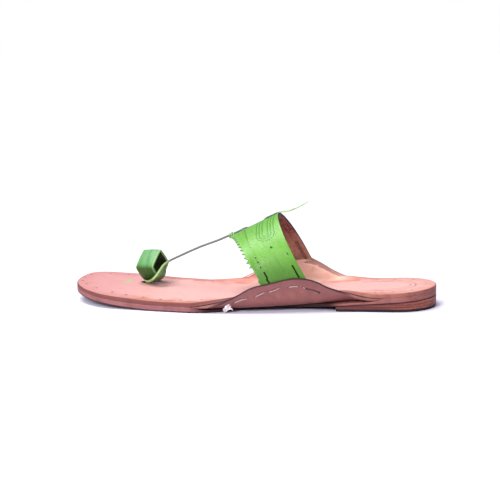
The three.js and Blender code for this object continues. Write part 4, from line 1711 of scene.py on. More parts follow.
@dataclass
class Lace:
    """The thin lace from the toe ring's foot up to the band, threaded along its crest, with a free end."""

    width: float = 1.9
    thickness: float = 1.6
    tail_reach: float = 21.3
    tail_tip_share: float = 0.5
    taper_start: float = 0.86
    # Points from the ring's middle, in half diagonals of the ring
    foot: Marks = (
        (0.237, -0.492, -0.949),
        (0.492, -0.864, -0.873),
        (0.788, -1.186, -0.686),
        (1.034, -1.254, -0.432),
        (1.203, -1.017, -0.161),
        (1.39, -0.712, 0.127),
        (1.661, -0.559, 0.347),
    )
    # Share of the way from the ring to the band, with the sag aside and up as shares of its length
    run: Marks = (
        (0.183, 0.004, 0.009),
        (0.496, 0.001, 0.013),
        (0.797, -0.002, -0.002),
    )
    # Way out and up, as shares of the tail's reach
    tail: Line = ((0.404, 0.08), (0.732, 0.225), (1.0, 0.38))
    # Share of the band's width, and 1 above its leather or -1 below it
    threading: Line = (
        (0.0, 1.0),
        (0.15, 1.0),
        (0.29, 1.0),
        (0.375, 0.1),
        (0.45, -1.0),
        (0.575, -1.0),
        (0.65, 0.1),
        (0.735, 1.0),
        (0.87, 1.0),
        (1.0, 1.0),
    )
    leaf_widths: Line = ((0.0, 2.0), (0.2, 5.2), (0.4, 6.4), (0.7, 5.0), (1.0, 1.6))
    leaf_length: float = 20.0
    leaf_thickness: float = 0.6
    leaf_bow: float = 0.7
    leaf_aside: tuple[float, float, float] = (1.0, 0.42, -0.06)
    knot_turns: float = 2.2
    knot_length: float = 3.6
    knot_back: float = 2.4
    knot_section: tuple[float, float] = (1.0, 0.7)
    # Added to the knot's own place, so that its dye is that of the lace's tip
    knot_dye: float = 200.0
    crest_share: float = 0.62
    crest_gap: float = 0.05

    def over_band(self, band: Band) -> Array:
        """Points along the band's crest, above or below its leather as the threading says.

        Args:
            band: The band that it is threaded in.

        Returns:
            Array of (point, 3).
        """
        across, sign = np.array(self.threading).T
        lift = LAST.band_thickness / 2 + self.crest_gap + self.thickness * self.crest_share / 2
        return band.place(across, 0 * across) + band.normal(across, 0 * across) * (lift * sign)[:, None]

    def foot_points(self, ring: ToeRing) -> Array:
        """Points from the insole up the ring's rear corner, in half diagonals of the ring."""
        return ring.middle + np.array(self.foot) * ring.half_diagonal

    def path(self, ring: ToeRing, band: Band) -> Array:
        """Middle line of the whole lace, from the insole to its free end.

        Args:
            ring: The ring that it leaves.
            band: The band that it is threaded in.

        Returns:
            Array of (point, 3).
        """
        foot = self.foot_points(ring)
        over = self.over_band(band)
        run = over[0] - foot[-1]
        length = np.linalg.norm(run)
        risen = [foot[-1] + run * s + np.array([0, a, up]) * length for s, a, up in self.run]
        tail = [over[-1] + np.array([out, 0, up]) * self.tail_reach for out, up in self.tail]
        return spline(np.vstack([foot, risen, over, tail]), 420)

    def leaf(self, ring: ToeRing) -> Shell:
        """Flat of the strip beside the lace's foot: from the lace toward the heel, narrower at both ends.

        Args:
            ring: The ring that it stands at.

        Returns:
            The sheet.
        """
        foot = spline(self.foot_points(ring)[1:6], 30)
        share = np.linspace(0, 1, len(foot))
        reach = read_table(self.leaf_widths, share)
        across = np.linspace(0, 1, 9)
        aside = unit(np.array(self.leaf_aside))
        bow = self.leaf_bow * np.sin(np.pi * across)[None, :] * np.sin(np.pi * share)[:, None]
        spread = aside * (reach[:, None] * across)[..., None]
        middle = foot[:, None] + spread + np.array([0.2, -1, 0]) * bow[..., None]
        normal = unit(np.cross(np.gradient(middle, axis=1), np.gradient(middle, axis=0)))
        half = self.leaf_thickness / 2
        shell = sheet_shell(middle + normal * half, middle - normal * half)
        run = share[:, None] * self.leaf_length
        plan = np.stack(np.broadcast_arrays(run, reach[:, None] * across, 0.0), -1).reshape(-1, 3)
        shell.values = {"plan": np.concatenate([plan, plan])}
        return shell

    def knot(self, path: Array, start: Array) -> Shell:
        """Turns of a thinner strip round the lace where it meets the band: a helix about the lace's line.

        Args:
            path: Middle line of the lace.
            start: Point at which it meets the band.

        Returns:
            The turns.
        """
        nearest = int(np.argmin(np.linalg.norm(path - start, axis=1)))
        along = unit(path[nearest + 3] - path[nearest - 3])
        aside = unit(np.cross(along, [0, 0, 1.0]))
        raised = np.cross(aside, along)
        share = np.linspace(0, 1, 70)
        turn = share * self.knot_turns * 2 * np.pi
        swell = 0.95 + 0.3 * np.sin(np.pi * share)
        axis = start + along * (self.knot_length * share - self.knot_back)[:, None]
        offset = aside * (swell * np.cos(turn))[:, None] + raised * (swell * np.sin(turn))[:, None]
        knot = strip_shell(axis + offset, unit(offset), *self.knot_section)
        knot.values = {"plan": knot.points + [self.knot_dye, 0, 0]}
        return knot

    def build(self, looks: Finishes, ring: ToeRing, band: Band) -> list[bpy.types.Object]:
        """The lace as one cord, with its leaf and its knot.

        Args:
            looks: Finishes of the sandal.
            ring: The ring that it leaves.
            band: The band that it is threaded in.

        Returns:
            The pieces.
        """
        path = self.path(ring, band)
        run = distance_run(path)
        tapered = np.clip((run / run[-1] - self.taper_start) / (1 - self.taper_start), 0, 1)
        taper = 1 - (1 - self.tail_tip_share) * tapered
        over = self.over_band(band)
        near = (np.argmin(np.linalg.norm(path - end, axis=1)) for end in (over[0], over[-1]))
        start, end = (run[k] for k in near)
        pressed = smooth((run - start + 4) / 5) * smooth((end + 6 - run) / 6)
        thin = self.thickness * taper * (1 - (1 - self.crest_share) * pressed)
        turned = smooth((run - 14) / 16)
        up = np.stack([0 * run, -0.9 * (1 - turned), 0.35 + 0.65 * turned], -1)
        shell = strip_shell(path, up, self.width * taper, thin)
        rings = np.concatenate([run[:1], run[:1], run, run[-1:], run[-1:]])
        around = np.tile(np.arange(THONG_SIDES) / THONG_SIDES, len(rings))
        shell.values = {"plan": np.column_stack([np.repeat(rings, THONG_SIDES), around, 0 * around])}
        piece = make_piece("toe_lace_thong", shell, looks.lace, "toe_lace")
        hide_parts("lace_tail")
        centre = (path + [0, LAST.middle_shift, 0]) * MM
        tuple(centre[0])
        self.width * MM
        [tuple(point) for point in centre]
        knot = self.knot(path, over[0])
        return [
            piece,
            make_piece("lace_leaf", self.leaf(ring), looks.leaf),
            make_piece("lace_knot", knot, looks.lace),
        ]


# Shader nodes


class Graph:
    """One node tree, laid out by short calls that each give back a socket. Its tone darkens colours."""

    tone = TONE

    def __init__(self, tree: bpy.types.NodeTree) -> None:
        """Takes the tree to lay out."""
        self.tree = tree

    def feed(self, node: bpy.types.Node, feeds: dict[int | str, Input]) -> bpy.types.Node:
        """Links sockets to a node's inputs, and sets values on them.

        Args:
            node: The node.
            feeds: Sockets or values by input.

        Returns:
            The same node.
        """
        for key, value in feeds.items():
            if isinstance(value, bpy.types.NodeSocket):
                self.tree.links.new(value, node.inputs[key])
            else:
                node.inputs[key].default_value = value
        return node

    def node(self, kind: str, feeds: dict[int | str, Input], **settings: str) -> bpy.types.Node:
        """Adds a node.

        Args:
            kind: Blender's name of the node type.
            feeds: Sockets or values by input.
            settings: Properties of the node.

        Returns:
            The node.
        """
        node = self.tree.nodes.new(kind)
        for key, value in settings.items():
            setattr(node, key, value)
        return self.feed(node, feeds)

    def effect(self, group: bpy.types.NodeTree, **feeds: Input) -> dict[str, Socket]:
        """Places a shared node group, fed by the names of its inputs.

        Args:
            group: The group.
            feeds: Sockets or values.

        Returns:
            Its outputs by name.
        """
        node = self.tree.nodes.new("ShaderNodeGroup")
        node.node_tree = group
        return {output.name: output for output in self.feed(node, feeds).outputs}

    def math(self, operation: str, a: Input, b: Input = 0.0) -> Socket:
        """One Math node."""
        return self.node("ShaderNodeMath", {0: a, 1: b}, operation=operation).outputs[0]

    def by(self, a: Input, b: Input) -> Socket:
        """Product of two values."""
        return self.math("MULTIPLY", a, b)

    def plus(self, a: Input, b: Input) -> Socket:
        """Sum of two values."""
        return self.math("ADD", a, b)

    def minus(self, a: Input, b: Input) -> Socket:
        """First value less the second."""
        return self.math("SUBTRACT", a, b)

    def away(self, a: Input, b: Input) -> Socket:
        """Distance between two values."""
        return self.math("ABSOLUTE", self.minus(a, b))

    def least(self, a: Input, b: Input) -> Socket:
        """Lower of two values."""
        return self.math("MINIMUM", a, b)

    def total(self, *parts: tuple[float, Input]) -> Socket:
        """Weighted sum of values.

        Args:
            parts: Weights with their values.

        Returns:
            The sum.
        """
        result = self.by(parts[0][1], parts[0][0])
        for weight, value in parts[1:]:
            result = self.plus(result, self.by(value, weight))
        return result

    def ramp(self, value: Input, low: Input, high: Input, start: float = 0.0, end: float = 1.0) -> Socket:
        """Smooth step of a value from low to high, between two results."""
        feeds = {"Value": value, "From Min": low, "From Max": high, "To Min": start, "To Max": end}
        return self.node("ShaderNodeMapRange", feeds, interpolation_type="SMOOTHSTEP").outputs[0]

    def window(self, value: Input, rise: tuple[float, float], fall: tuple[float, float]) -> Socket:
        """Product of a smooth step up and a smooth step down."""
        return self.by(self.ramp(value, *rise), self.ramp(value, *fall))

    def mix(self, factor: Input, a: Input, b: Input) -> Socket:
        """Mix of two colours."""
        a, b = ((*(part * self.tone for part in v), 1.0) if isinstance(v, tuple) else v for v in (a, b))
        return self.node("ShaderNodeMix", {0: factor, 6: a, 7: b}, data_type="RGBA").outputs[2]

    def noise(self, place: Input, scale: Input, detail: float = 3.0, rough: float = 0.55) -> Socket:
        """Noise of about 0.2 to 0.8."""
        feeds = {"Vector": place, "Scale": scale, "Detail": detail, "Roughness": rough}
        return self.node("ShaderNodeTexNoise", feeds).outputs[0]

    def times(self, vector: Input, factor: tuple[float, float, float]) -> Socket:
        """A vector times another, part by part."""
        return self.node("ShaderNodeVectorMath", {0: vector, 1: factor}, operation="MULTIPLY").outputs[0]

    def vector(self, x: Input, y: Input, z: Input = 0.0) -> Socket:
        """A vector from its parts."""
        return self.node("ShaderNodeCombineXYZ", {0: x, 1: y, 2: z}).outputs[0]

    def parts(self, vector: Socket) -> tuple[Socket, ...]:
        """A vector, whole and in its three parts."""
        return vector, *self.node("ShaderNodeSeparateXYZ", {0: vector}).outputs

    def attribute(self, name: str) -> tuple[Socket, ...]:
        """A value kept at the mesh's points, whole and in its three parts."""
        return self.parts(self.node("ShaderNodeAttribute", {}, attribute_name=name).outputs["Vector"])

    def place(self) -> tuple[Socket, ...]:
        """Object coordinates in millimetres, whole and in their three parts."""
        return self.parts(self.times(self.node("ShaderNodeTexCoord", {}).outputs["Object"], (1 / MM,) * 3))


class Surface(Graph):
    """A material under construction: its Principled shader, and the colour that its layers have built up."""

    def __init__(self, name: str, specular: float, coat: dict[str, float] | None = None) -> None:
        """Starts a material, with the numbers that are the same all over it on the shader itself.

        Args:
            name: Name of the material.
            specular: Specular level of the shader.
            coat: Numbers of its coat by input.
        """
        self.material = bpy.data.materials.new(name)
        self.material.use_nodes = True
        super().__init__(self.material.node_tree)
        self.shader = self.tree.nodes["Principled BSDF"]
        self.feed(self.shader, {"Specular IOR Level": specular, **(coat or {})})
        self.colour: Input = 0.0

    def over(self, colour: Input, mask: Input, share: float = 1.0) -> None:
        """Lays a colour over the present one, by a share of a mask."""
        self.colour = self.mix(mask if share == 1 else self.by(mask, share), self.colour, colour)

    def dress(self, roughness: Input, height: Input, depth: float) -> bpy.types.Material:
        """Feeds colour, roughness and relief to the shader.

        Args:
            roughness: Roughness over the surface.
            height: Relief, of about 0 to 1.
            depth: What a relief of 1 is, in millimetres.

        Returns:
            The material.
        """
        bump = self.node("ShaderNodeBump", {"Height": height, "Distance": depth * MM, "Strength": 1.0})
        self.feed(self.shader, {"Base Color": self.colour, "Roughness": roughness, "Normal": bump.outputs[0]})
        return self.material


def new_effect(
    name: str, inputs: dict[str, Input], fill: Callable[..., dict[str, Socket]]
) -> bpy.types.NodeTree:
    """Builds a node group with named inputs and outputs.

    Args:
        name: Name of the group.
        inputs: Values of the inputs, three parts for a vector.
        fill: Lays out the group from a graph and its input sockets, and gives back its outputs by name.

    Returns:
        The group.
    """
    tree = bpy.data.node_groups.new(name, "ShaderNodeTree")
    for key, value in inputs.items():
        kind = "NodeSocketVector" if isinstance(value, tuple) else "NodeSocketFloat"
        tree.interface.new_socket(key, in_out="INPUT", socket_type=kind).default_value = value
    graph = Graph(tree)
    entry = graph.node("NodeGroupInput", {})
    results = fill(graph, *(entry.outputs[key] for key in inputs))
    for key in results:
        tree.interface.new_socket(key, in_out="OUTPUT", socket_type="NodeSocketFloat")
    graph.node("NodeGroupOutput", results)
    return tree


@dataclass(frozen=True)
class Effects:
    """Shader node groups that several finishes share. Their lengths are millimetres."""

    grain: bpy.types.NodeTree
    fibres: bpy.types.NodeTree
    punched: bpy.types.NodeTree
    scored: bpy.types.NodeTree
    worn: bpy.types.NodeTree
    smudges: bpy.types.NodeTree

    @staticmethod
    def fill_grain(g: Graph, place: Input, size: Input) -> dict[str, Socket]:
        """Pores and creases of a grain side: cell borders, finer noise, and slow changes of tone.

        Args:
            g: Graph of the group.
            place: Place on the leather.
            size: Size of a pore.

        Returns:
            Relief and tone.
        """
        scale = g.math("DIVIDE", 1.0, size)
        cells = g.node("ShaderNodeTexVoronoi", {"Vector": place, "Scale": scale}, feature="DISTANCE_TO_EDGE")
        crease = g.ramp(cells.outputs[0], 0.0, 0.16)
        fine = g.noise(place, g.by(scale, 2.3), 4.0)
        tone = g.noise(place, g.by(scale, 0.09), 5.0, 0.6)
        return {"Height": g.total((0.55, crease), (0.6, fine)), "Tone": g.ramp(tone, 0.3, 0.7)}

    @staticmethod
    def fill_fibres(g: Graph, run: Input, height: Input, spacing: Input) -> dict[str, Socket]:
        """Long streaks of a cut edge: noise drawn out along it.

        Args:
            g: Graph of the group.
            run: Distance along the edge.
            height: Distance up the edge.
            spacing: Distance between streaks.

        Returns:
            Relief and streaks.
        """
        up = g.math("DIVIDE", height, spacing)
        long = g.noise(g.vector(g.by(run, 0.05), up), 1.0, 4.0, 0.6)
        short = g.noise(g.vector(g.by(run, 0.35), g.by(up, 2.2)), 1.0, 4.0, 0.65)
        streak = g.ramp(g.total((0.65, long), (0.35, short)), 0.36, 0.64)
        return {"Height": g.total((0.5, long), (0.5, short)), "Streak": streak}

    @staticmethod
    def fill_punched(g: Graph, offset: Input, radius: Input) -> dict[str, Socket]:
        """Round holes about the marks whose offsets a surface keeps.

        Args:
            g: Graph of the group.
            offset: Offset to the nearest mark, in its first two parts.
            radius: Radius of a hole.

        Returns:
            Relief, hole and the pressed ring round it.
        """
        flat = g.times(offset, (1.0, 1.0, 0.0))
        away = g.node("ShaderNodeVectorMath", {0: flat}, operation="LENGTH").outputs["Value"]
        hole = g.ramp(away, g.plus(radius, 0.12), g.minus(radius, 0.12))
        halo = g.ramp(away, g.by(radius, 2.6), radius)
        return {"Height": g.total((0.3, halo), (-1.0, hole)), "Hole": hole, "Halo": halo}

    @staticmethod
    def fill_scored(g: Graph, distance: Input, width: Input) -> dict[str, Socket]:
        """A line pressed into leather, with a low lip on either side.

        Args:
            g: Graph of the group.
            distance: Distance from the line.
            width: Half its width.

        Returns:
            Relief and line.
        """
        line = g.ramp(distance, width, g.by(width, 0.3))
        lip = g.ramp(distance, g.by(width, 3.2), g.by(width, 1.2))
        return {"Height": g.total((0.35, lip), (-1.0, line)), "Line": line}

    @staticmethod
    def fill_worn(g: Graph, distance: Input, reach: Input, place: Input) -> dict[str, Socket]:
        """Mask that starts at an edge and fades unevenly: wear and rubbing, and the painted shade along the
        ears' top edge.

        Args:
            g: Graph of the group.
            distance: Distance from the edge.
            reach: How far it reaches in.
            place: Place on the leather.

        Returns:
            Its share.
        """
        uneven = g.by(g.minus(g.noise(place, 0.35, 4.0), 0.5), reach)
        return {"Mask": g.ramp(g.plus(distance, g.by(uneven, 1.8)), reach, 0.0)}

    @staticmethod
    def fill_smudges(g: Graph, place: Input, size: Input, amount: Input) -> dict[str, Socket]:
        """Patches of dirt or rubbing where slow noise is high.

        Args:
            g: Graph of the group.
            place: Place on the leather.
            size: Size of a patch.
            amount: Share that they cover.

        Returns:
            Their share.
        """
        patch = g.noise(place, g.math("DIVIDE", 1.0, size), 5.0, 0.65)
        low = g.minus(0.72, g.by(amount, 0.5))
        return {"Mask": g.ramp(patch, low, g.plus(low, 0.16))}

    @classmethod
    def build(cls) -> Effects:
        """Lays out the groups.

        Returns:
            The groups.
        """
        spot = (0.0, 0.0, 0.0)
        return cls(
            new_effect("leather_grain", {"Place": spot, "Size": 0.8}, cls.fill_grain),
            new_effect("edge_fibres", {"Run": 0.0, "Height": 0.0, "Spacing": 0.6}, cls.fill_fibres),
            new_effect("punched_holes", {"Offset": spot, "Radius": 0.6}, cls.fill_punched),
            new_effect("scored_line", {"Distance": 1.0, "Width": 0.4}, cls.fill_scored),
            new_effect("worn_edge", {"Distance": 1.0, "Reach": 1.0, "Place": spot}, cls.fill_worn),
            new_effect("smudges", {"Place": spot, "Size": 6.0, "Amount": 0.4}, cls.fill_smudges),
        )


# Finishes


@dataclass(frozen=True)
class InsoleGrain:
    """Natural upper side of the insole: pale in the middle, warm toward its rim, with punched holes; painted
    light on the wings, and painted shade in the holes and round the toe ring's slit.
    """

    pale: Colour = (0.86, 0.47, 0.44)
    warm: Colour = (0.62, 0.22, 0.16)
    pink: Colour = (0.72, 0.32, 0.325)
    # Painted light: the two colours laid on the wings' inner faces, lighter than the leather, as if lit from
    # in front
    painted_wing_light: Colour = (1.6, 1.05, 0.9)
    painted_wing_amber: Colour = (1.5, 0.82, 0.6)
    deep: Colour = (0.60, 0.245, 0.20)
    line: Colour = (0.42, 0.16, 0.12)
    hole: Colour = (0.09, 0.02, 0.025)
    stain: Colour = (0.40, 0.62, 0.28)
    painted_ring_shadow: Colour = (0.02, 0.012, 0.012)
    seat_inset: float = 14.2
    seat_gap: float = 3.6

    def seat(self, s: Surface, x: Input, rim: Input) -> Socket:
        """Distance from the two lines scored round the seat of the heel, each a fixed way in from the rim.

        Args:
            s: The material.
            x: Place along the sandal.
            rim: Distance from the rim.

        Returns:
            The distance.
        """
        outer = s.plus(s.away(rim, self.seat_inset), s.ramp(x, 76.0, 72.0, 0.0, 9.0))
        inner = s.plus(s.away(rim, self.seat_inset + self.seat_gap), s.ramp(x, 98.0, 94.0, 0.1, 9.0))
        return s.least(outer, inner)

    def material(self, effects: Effects) -> bpy.types.Material:
        """The finish as a material.

        Args:
            effects: Shared node groups.

        Returns:
            The material.
        """
        s = Surface("insole_grain", 0.35)
        _, x, y, _ = s.attribute("plan")
        marks, _, _, rim = s.attribute("marks")
        _, creased, stained, slit = s.attribute("lines")
        place = s.vector(x, y)
        grain = s.effect(effects.grain, Place=place, Size=0.9)
        streak = s.noise(s.times(place, (0.03, 0.16, 0.0)), 1.0, 5.0, 0.6)
        warmth = s.ramp(s.total((-0.055, rim), (1.6, streak), (0.5, grain["Tone"])), 0.1, 1.0)
        s.colour = s.mix(s.by(warmth, s.ramp(x, 86.0, 112.0, 1.0, 0.45)), self.pale, self.warm)
        s.over(self.pink, s.ramp(s.total((1.0, x), (26.0, streak)), -40.0, -98.0), 0.75)
        # Painted light: the wings' inner faces are laid far lighter than the leather
        wing = s.by(s.ramp(y, 22.0, 34.0), s.window(x, (0.0, 24.0), (74.0, 58.0)))
        s.over(s.mix(streak, self.painted_wing_light, self.painted_wing_amber), wing)
        patches = s.effect(effects.smudges, Place=place, Size=11.0, Amount=0.34)
        s.over(self.deep, patches["Mask"], 0.3)
        s.over(self.deep, s.effect(effects.worn, Distance=rim, Reach=1.7, Place=place)["Mask"], 0.45)
        dye = s.total((1.0, stained), (2.2, s.noise(place, 0.45)))
        s.over(self.stain, s.ramp(dye, 2.2, 1.2), 0.62)
        line = s.effect(effects.scored, Distance=s.least(self.seat(s, x, rim), creased), Width=0.6)
        s.over(self.line, line["Line"], 0.7)
        # The punched holes are not cut: a nearly black disc of painted shade stands for each, with a pressed
        # ring round it
        hole = s.effect(effects.punched, Offset=marks, Radius=0.75)
        s.over(self.deep, hole["Halo"], 0.45)
        s.over(self.hole, hole["Hole"])
        # Painted shadow of the toe ring: the insole is laid nearly black round the slit under the ring's foot
        s.over(self.painted_ring_shadow, s.ramp(slit, 4.2, 3.2))
        rough = s.total((0.14, grain["Tone"]), (0.12, patches["Mask"]), (0.42, 1.0))
        height = s.total((0.3, grain["Height"]), (1.6, line["Height"]), (2.6, hole["Height"]), (0.5, streak))
        return s.dress(rough, height, 0.22)


@dataclass(frozen=True)
class CutEdge:
    """Cut edge of sole leather: streaks along it, dirt in its seam, darker toward its foot, and a darker heel
    end; painted shade on the outsole's edge at the waist, and painted light on the insole's edge along the
    wings.
    """

    name: str
    front: Colour
    rear: Colour
    light: Colour
    dark: Colour
    thickness: float = 3.4
    spacing: float = 0.55
    dark_foot_share: float = 0.14
    waist_painted_shade: float = 0.0
    # Share and colour of the painted light laid on the insole's edge along the wings
    wing_painted_light: float = 0.0
    wing: Colour = (0.8, 0.42, 0.33)
    shade: Colour = (0.03, 0.006, 0.008)
    dirt: Colour = (0.05, 0.02, 0.03)

    def material(self, effects: Effects) -> bpy.types.Material:
        """The finish as a material.

        Args:
            effects: Shared node groups.

        Returns:
            The material.
        """
        s = Surface(self.name, 0.15)
        _, run, _, share = s.attribute("edge")
        _, x, y, _ = s.attribute("plan")
        up = s.by(share, self.thickness)
        fibres = s.effect(effects.fibres, Run=run, Height=up, Spacing=self.spacing)
        s.colour = s.mix(s.ramp(x, 10.0, 95.0), self.front, self.rear)
        s.over(self.light, fibres["Streak"], 0.55)
        veins = s.effect(effects.fibres, Run=s.plus(run, 300.0), Height=up, Spacing=self.spacing * 0.8)
        s.over(self.dark, s.ramp(veins["Streak"], 0.55, 1.0), 0.6)
        smudged = s.effect(effects.smudges, Place=s.vector(run, up), Size=9.0, Amount=0.5)
        s.over(self.dark, smudged["Mask"], 0.3)
        # Painted shade: the outsole's edge at the waist, under the overhanging ears, is laid nearly black
        s.over(self.shade, s.window(x, (-42.0, -26.0), (66.0, 54.0)), self.waist_painted_shade)
        # Painted light: the insole's edge along the wings is laid lighter, as if lit
        s.over(self.wing, s.by(s.ramp(y, 20.0, 28.0), s.window(x, (0.0, 24.0), (80.0, 66.0))), self.wing_painted_light)
        s.over(self.dark, s.ramp(share, 0.93, 1.0), 0.2)
        # Darker toward the foot of the edge
        s.over(self.dirt, s.ramp(share, self.dark_foot_share, 0.0), 0.85)
        rough = s.total((0.2, fibres["Height"]), (0.5, 1.0))
        return s.dress(rough, s.total((1.0, fibres["Height"]), (0.5, veins["Height"])), 0.3)


@dataclass(frozen=True)
class HeelStack:
    """Stacked edge of the heel lift: red-brown layers, streaked, darker toward its foot."""

    base: Colour = (0.22, 0.044, 0.037)
    pale: Colour = (0.45, 0.122, 0.09)
    orange: Colour = (0.75, 0.24, 0.09)
    dark: Colour = (0.10, 0.022, 0.024)
    olive: Colour = (0.055, 0.032, 0.026)
    seams: tuple[float, ...] = (3.3, 5.0)
    foot: float = 1.6

    def material(self, effects: Effects) -> bpy.types.Material:
        """The finish as a material.

        Args:
            effects: Shared node groups.

        Returns:
            The material.
        """
        s = Surface("heel_stack_edge", 0.3)
        _, run, _, _ = s.attribute("edge")
        place, x, _, z = s.place()
        fibres = s.effect(effects.fibres, Run=run, Height=z, Spacing=0.7)
        glow = s.effect(effects.fibres, Run=s.plus(run, 77.0), Height=z, Spacing=1.1)
        s.colour = s.mix(s.ramp(x, 84.0, 124.0), self.base, self.pale)
        s.over(self.dark, s.ramp(fibres["Streak"], 0.3, 1.0), 0.7)
        s.over(self.orange, s.by(s.ramp(glow["Streak"], 0.72, 1.0), s.ramp(x, 96.0, 112.0)), 0.8)
        height = fibres["Height"]
        for seam in self.seams:
            away = s.away(z, s.total((1.0, seam), (0.5, glow["Streak"])))
            line = s.effect(effects.scored, Distance=away, Width=0.22)
            s.over(self.dark, line["Line"], 0.75)
            height = s.total((1.0, height), (0.8, line["Height"]))
        # Darker toward the foot of the lift
        soiled = s.effect(effects.worn, Distance=s.minus(z, self.foot), Reach=1.3, Place=place)
        s.over(self.olive, soiled["Mask"], 0.85)
        return s.dress(s.total((0.2, fibres["Height"]), (0.48, 1.0)), height, 0.3)


@dataclass(frozen=True)
class DarkLeather:
    """Plain scuffed leather: underside of the sole and bottom of the heel; also the dark sheets behind the
    band's slits and the inside of the toe ring, laid dark as painted shade.
    """

    name: str
    base: Colour = (0.028, 0.016, 0.02)
    dusty: Colour = (0.11, 0.07, 0.065)
    dust: float = 0.35
    patch: float = 7.0

    def material(self, effects: Effects) -> bpy.types.Material:
        """The finish as a material.

        Args:
            effects: Shared node groups.

        Returns:
            The material.
        """
        s = Surface(self.name, 0.25)
        place = s.place()[0]
        grain = s.effect(effects.grain, Place=place, Size=1.1)
        patches = s.effect(effects.smudges, Place=place, Size=self.patch, Amount=self.dust)
        scratches = s.noise(s.times(place, (0.07, 0.9, 0.9)), 1.0, 4.0, 0.6)
        s.colour = s.mix(s.by(patches["Mask"], 0.8), self.base, self.dusty)
        s.over(self.dusty, s.ramp(scratches, 0.56, 0.7), 0.4)
        height = s.total((0.7, grain["Height"]), (0.6, scratches))
        return s.dress(s.total((0.2, grain["Tone"]), (0.6, 1.0)), height, 0.25)


@dataclass(frozen=True)
class EarGrain:
    """Natural outer side of the ears, dusky in places, with painted shade: dark along its top edge, in its
    groove and end hole, and beside its thong stitches.
    """

    base: Colour = (0.285, 0.084, 0.077)
    dusky: Colour = (0.20, 0.063, 0.073)
    blush: Colour = (0.36, 0.117, 0.098)
    edge: Colour = (0.035, 0.014, 0.018)
    inner: Colour = (0.80, 0.42, 0.33)
    thong_shadow: Colour = (0.16, 0.06, 0.07)

    def material(self, effects: Effects) -> bpy.types.Material:
        """The finish as a material.

        Args:
            effects: Shared node groups.

        Returns:
            The material.
        """
        s = Surface("ear_grain", 0.4)
        _, x, reach, depth = s.attribute("plan")
        marks, _, _, below = s.attribute("marks")
        _, groove_at, thong_shadow_at, _ = s.attribute("lines")
        place = s.vector(x, reach)
        grain = s.effect(effects.grain, Place=place, Size=0.8)
        s.colour = s.mix(grain["Tone"], self.base, self.blush)
        s.over(self.dusky, s.effect(effects.smudges, Place=place, Size=8.0, Amount=0.45)["Mask"], 0.45)
        s.over(self.dusky, s.ramp(below, 12.0, 2.0), 0.4)
        # Painted shade: the outer face is laid nearly black along its top edge, for the shadow of the gap
        # between ear and wing
        s.over(self.edge, s.effect(effects.worn, Distance=below, Reach=1.25, Place=place)["Mask"], 0.96)
        s.over(self.inner, s.ramp(depth, 0.9, 0.3))
        groove = s.effect(effects.scored, Distance=groove_at, Width=0.6)
        thong_shadow = s.effect(effects.scored, Distance=thong_shadow_at, Width=1.0)
        hole = s.effect(effects.punched, Offset=marks, Radius=0.7)
        # Painted shade: the open groove and the end hole are laid nearly black
        s.over(self.edge, groove["Line"])
        # Painted shadow of the thongs: a darker line under and beside each stitch
        s.over(self.thong_shadow, thong_shadow["Line"], 0.5)
        s.over(self.edge, hole["Hole"])
        pressed = ((1.5, groove["Height"]), (0.8, thong_shadow["Height"]), (1.6, hole["Height"]))
        height = s.total((0.4, grain["Height"]), *pressed)
        return s.dress(s.total((0.16, grain["Tone"]), (0.4, 1.0)), height, 0.25)


@dataclass(frozen=True)
class RimLeather:
    """Top rim of the ears: nearly black on the outer ear, painted shade of the gap between ear and wing, and
    dun on the inner one.
    """

    base: Colour = (0.045, 0.015, 0.018)
    rubbed: Colour = (0.16, 0.055, 0.055)
    ends: Colour = (0.46, 0.19, 0.165)
    dun: Colour = (0.30, 0.16, 0.13)

    def material(self, effects: Effects) -> bpy.types.Material:
        """The finish as a material.

        Args:
            effects: Shared node groups.

        Returns:
            The material.
        """
        s = Surface("ear_rim", 0.15)
        plan, x, _, depth = s.attribute("plan")
        fibres = s.effect(effects.fibres, Run=x, Height=depth, Spacing=0.5)
        patches = s.effect(effects.smudges, Place=plan, Size=5.0, Amount=0.3)
        # Painted shade: the outer ear's rim is laid nearly black
        s.colour = s.mix(s.by(patches["Mask"], 0.6), self.base, self.rubbed)
        tapered = s.math("MAXIMUM", s.ramp(x, -16.0, -28.0), s.ramp(x, 62.0, 74.0))
        s.over(s.mix(fibres["Streak"], self.rubbed, self.ends), tapered)
        s.over(s.mix(fibres["Streak"], self.dun, self.ends), s.ramp(s.place()[2], 0.0, 10.0))
        return s.dress(s.total((0.2, fibres["Streak"]), (0.45, 1.0)), fibres["Height"], 0.2)


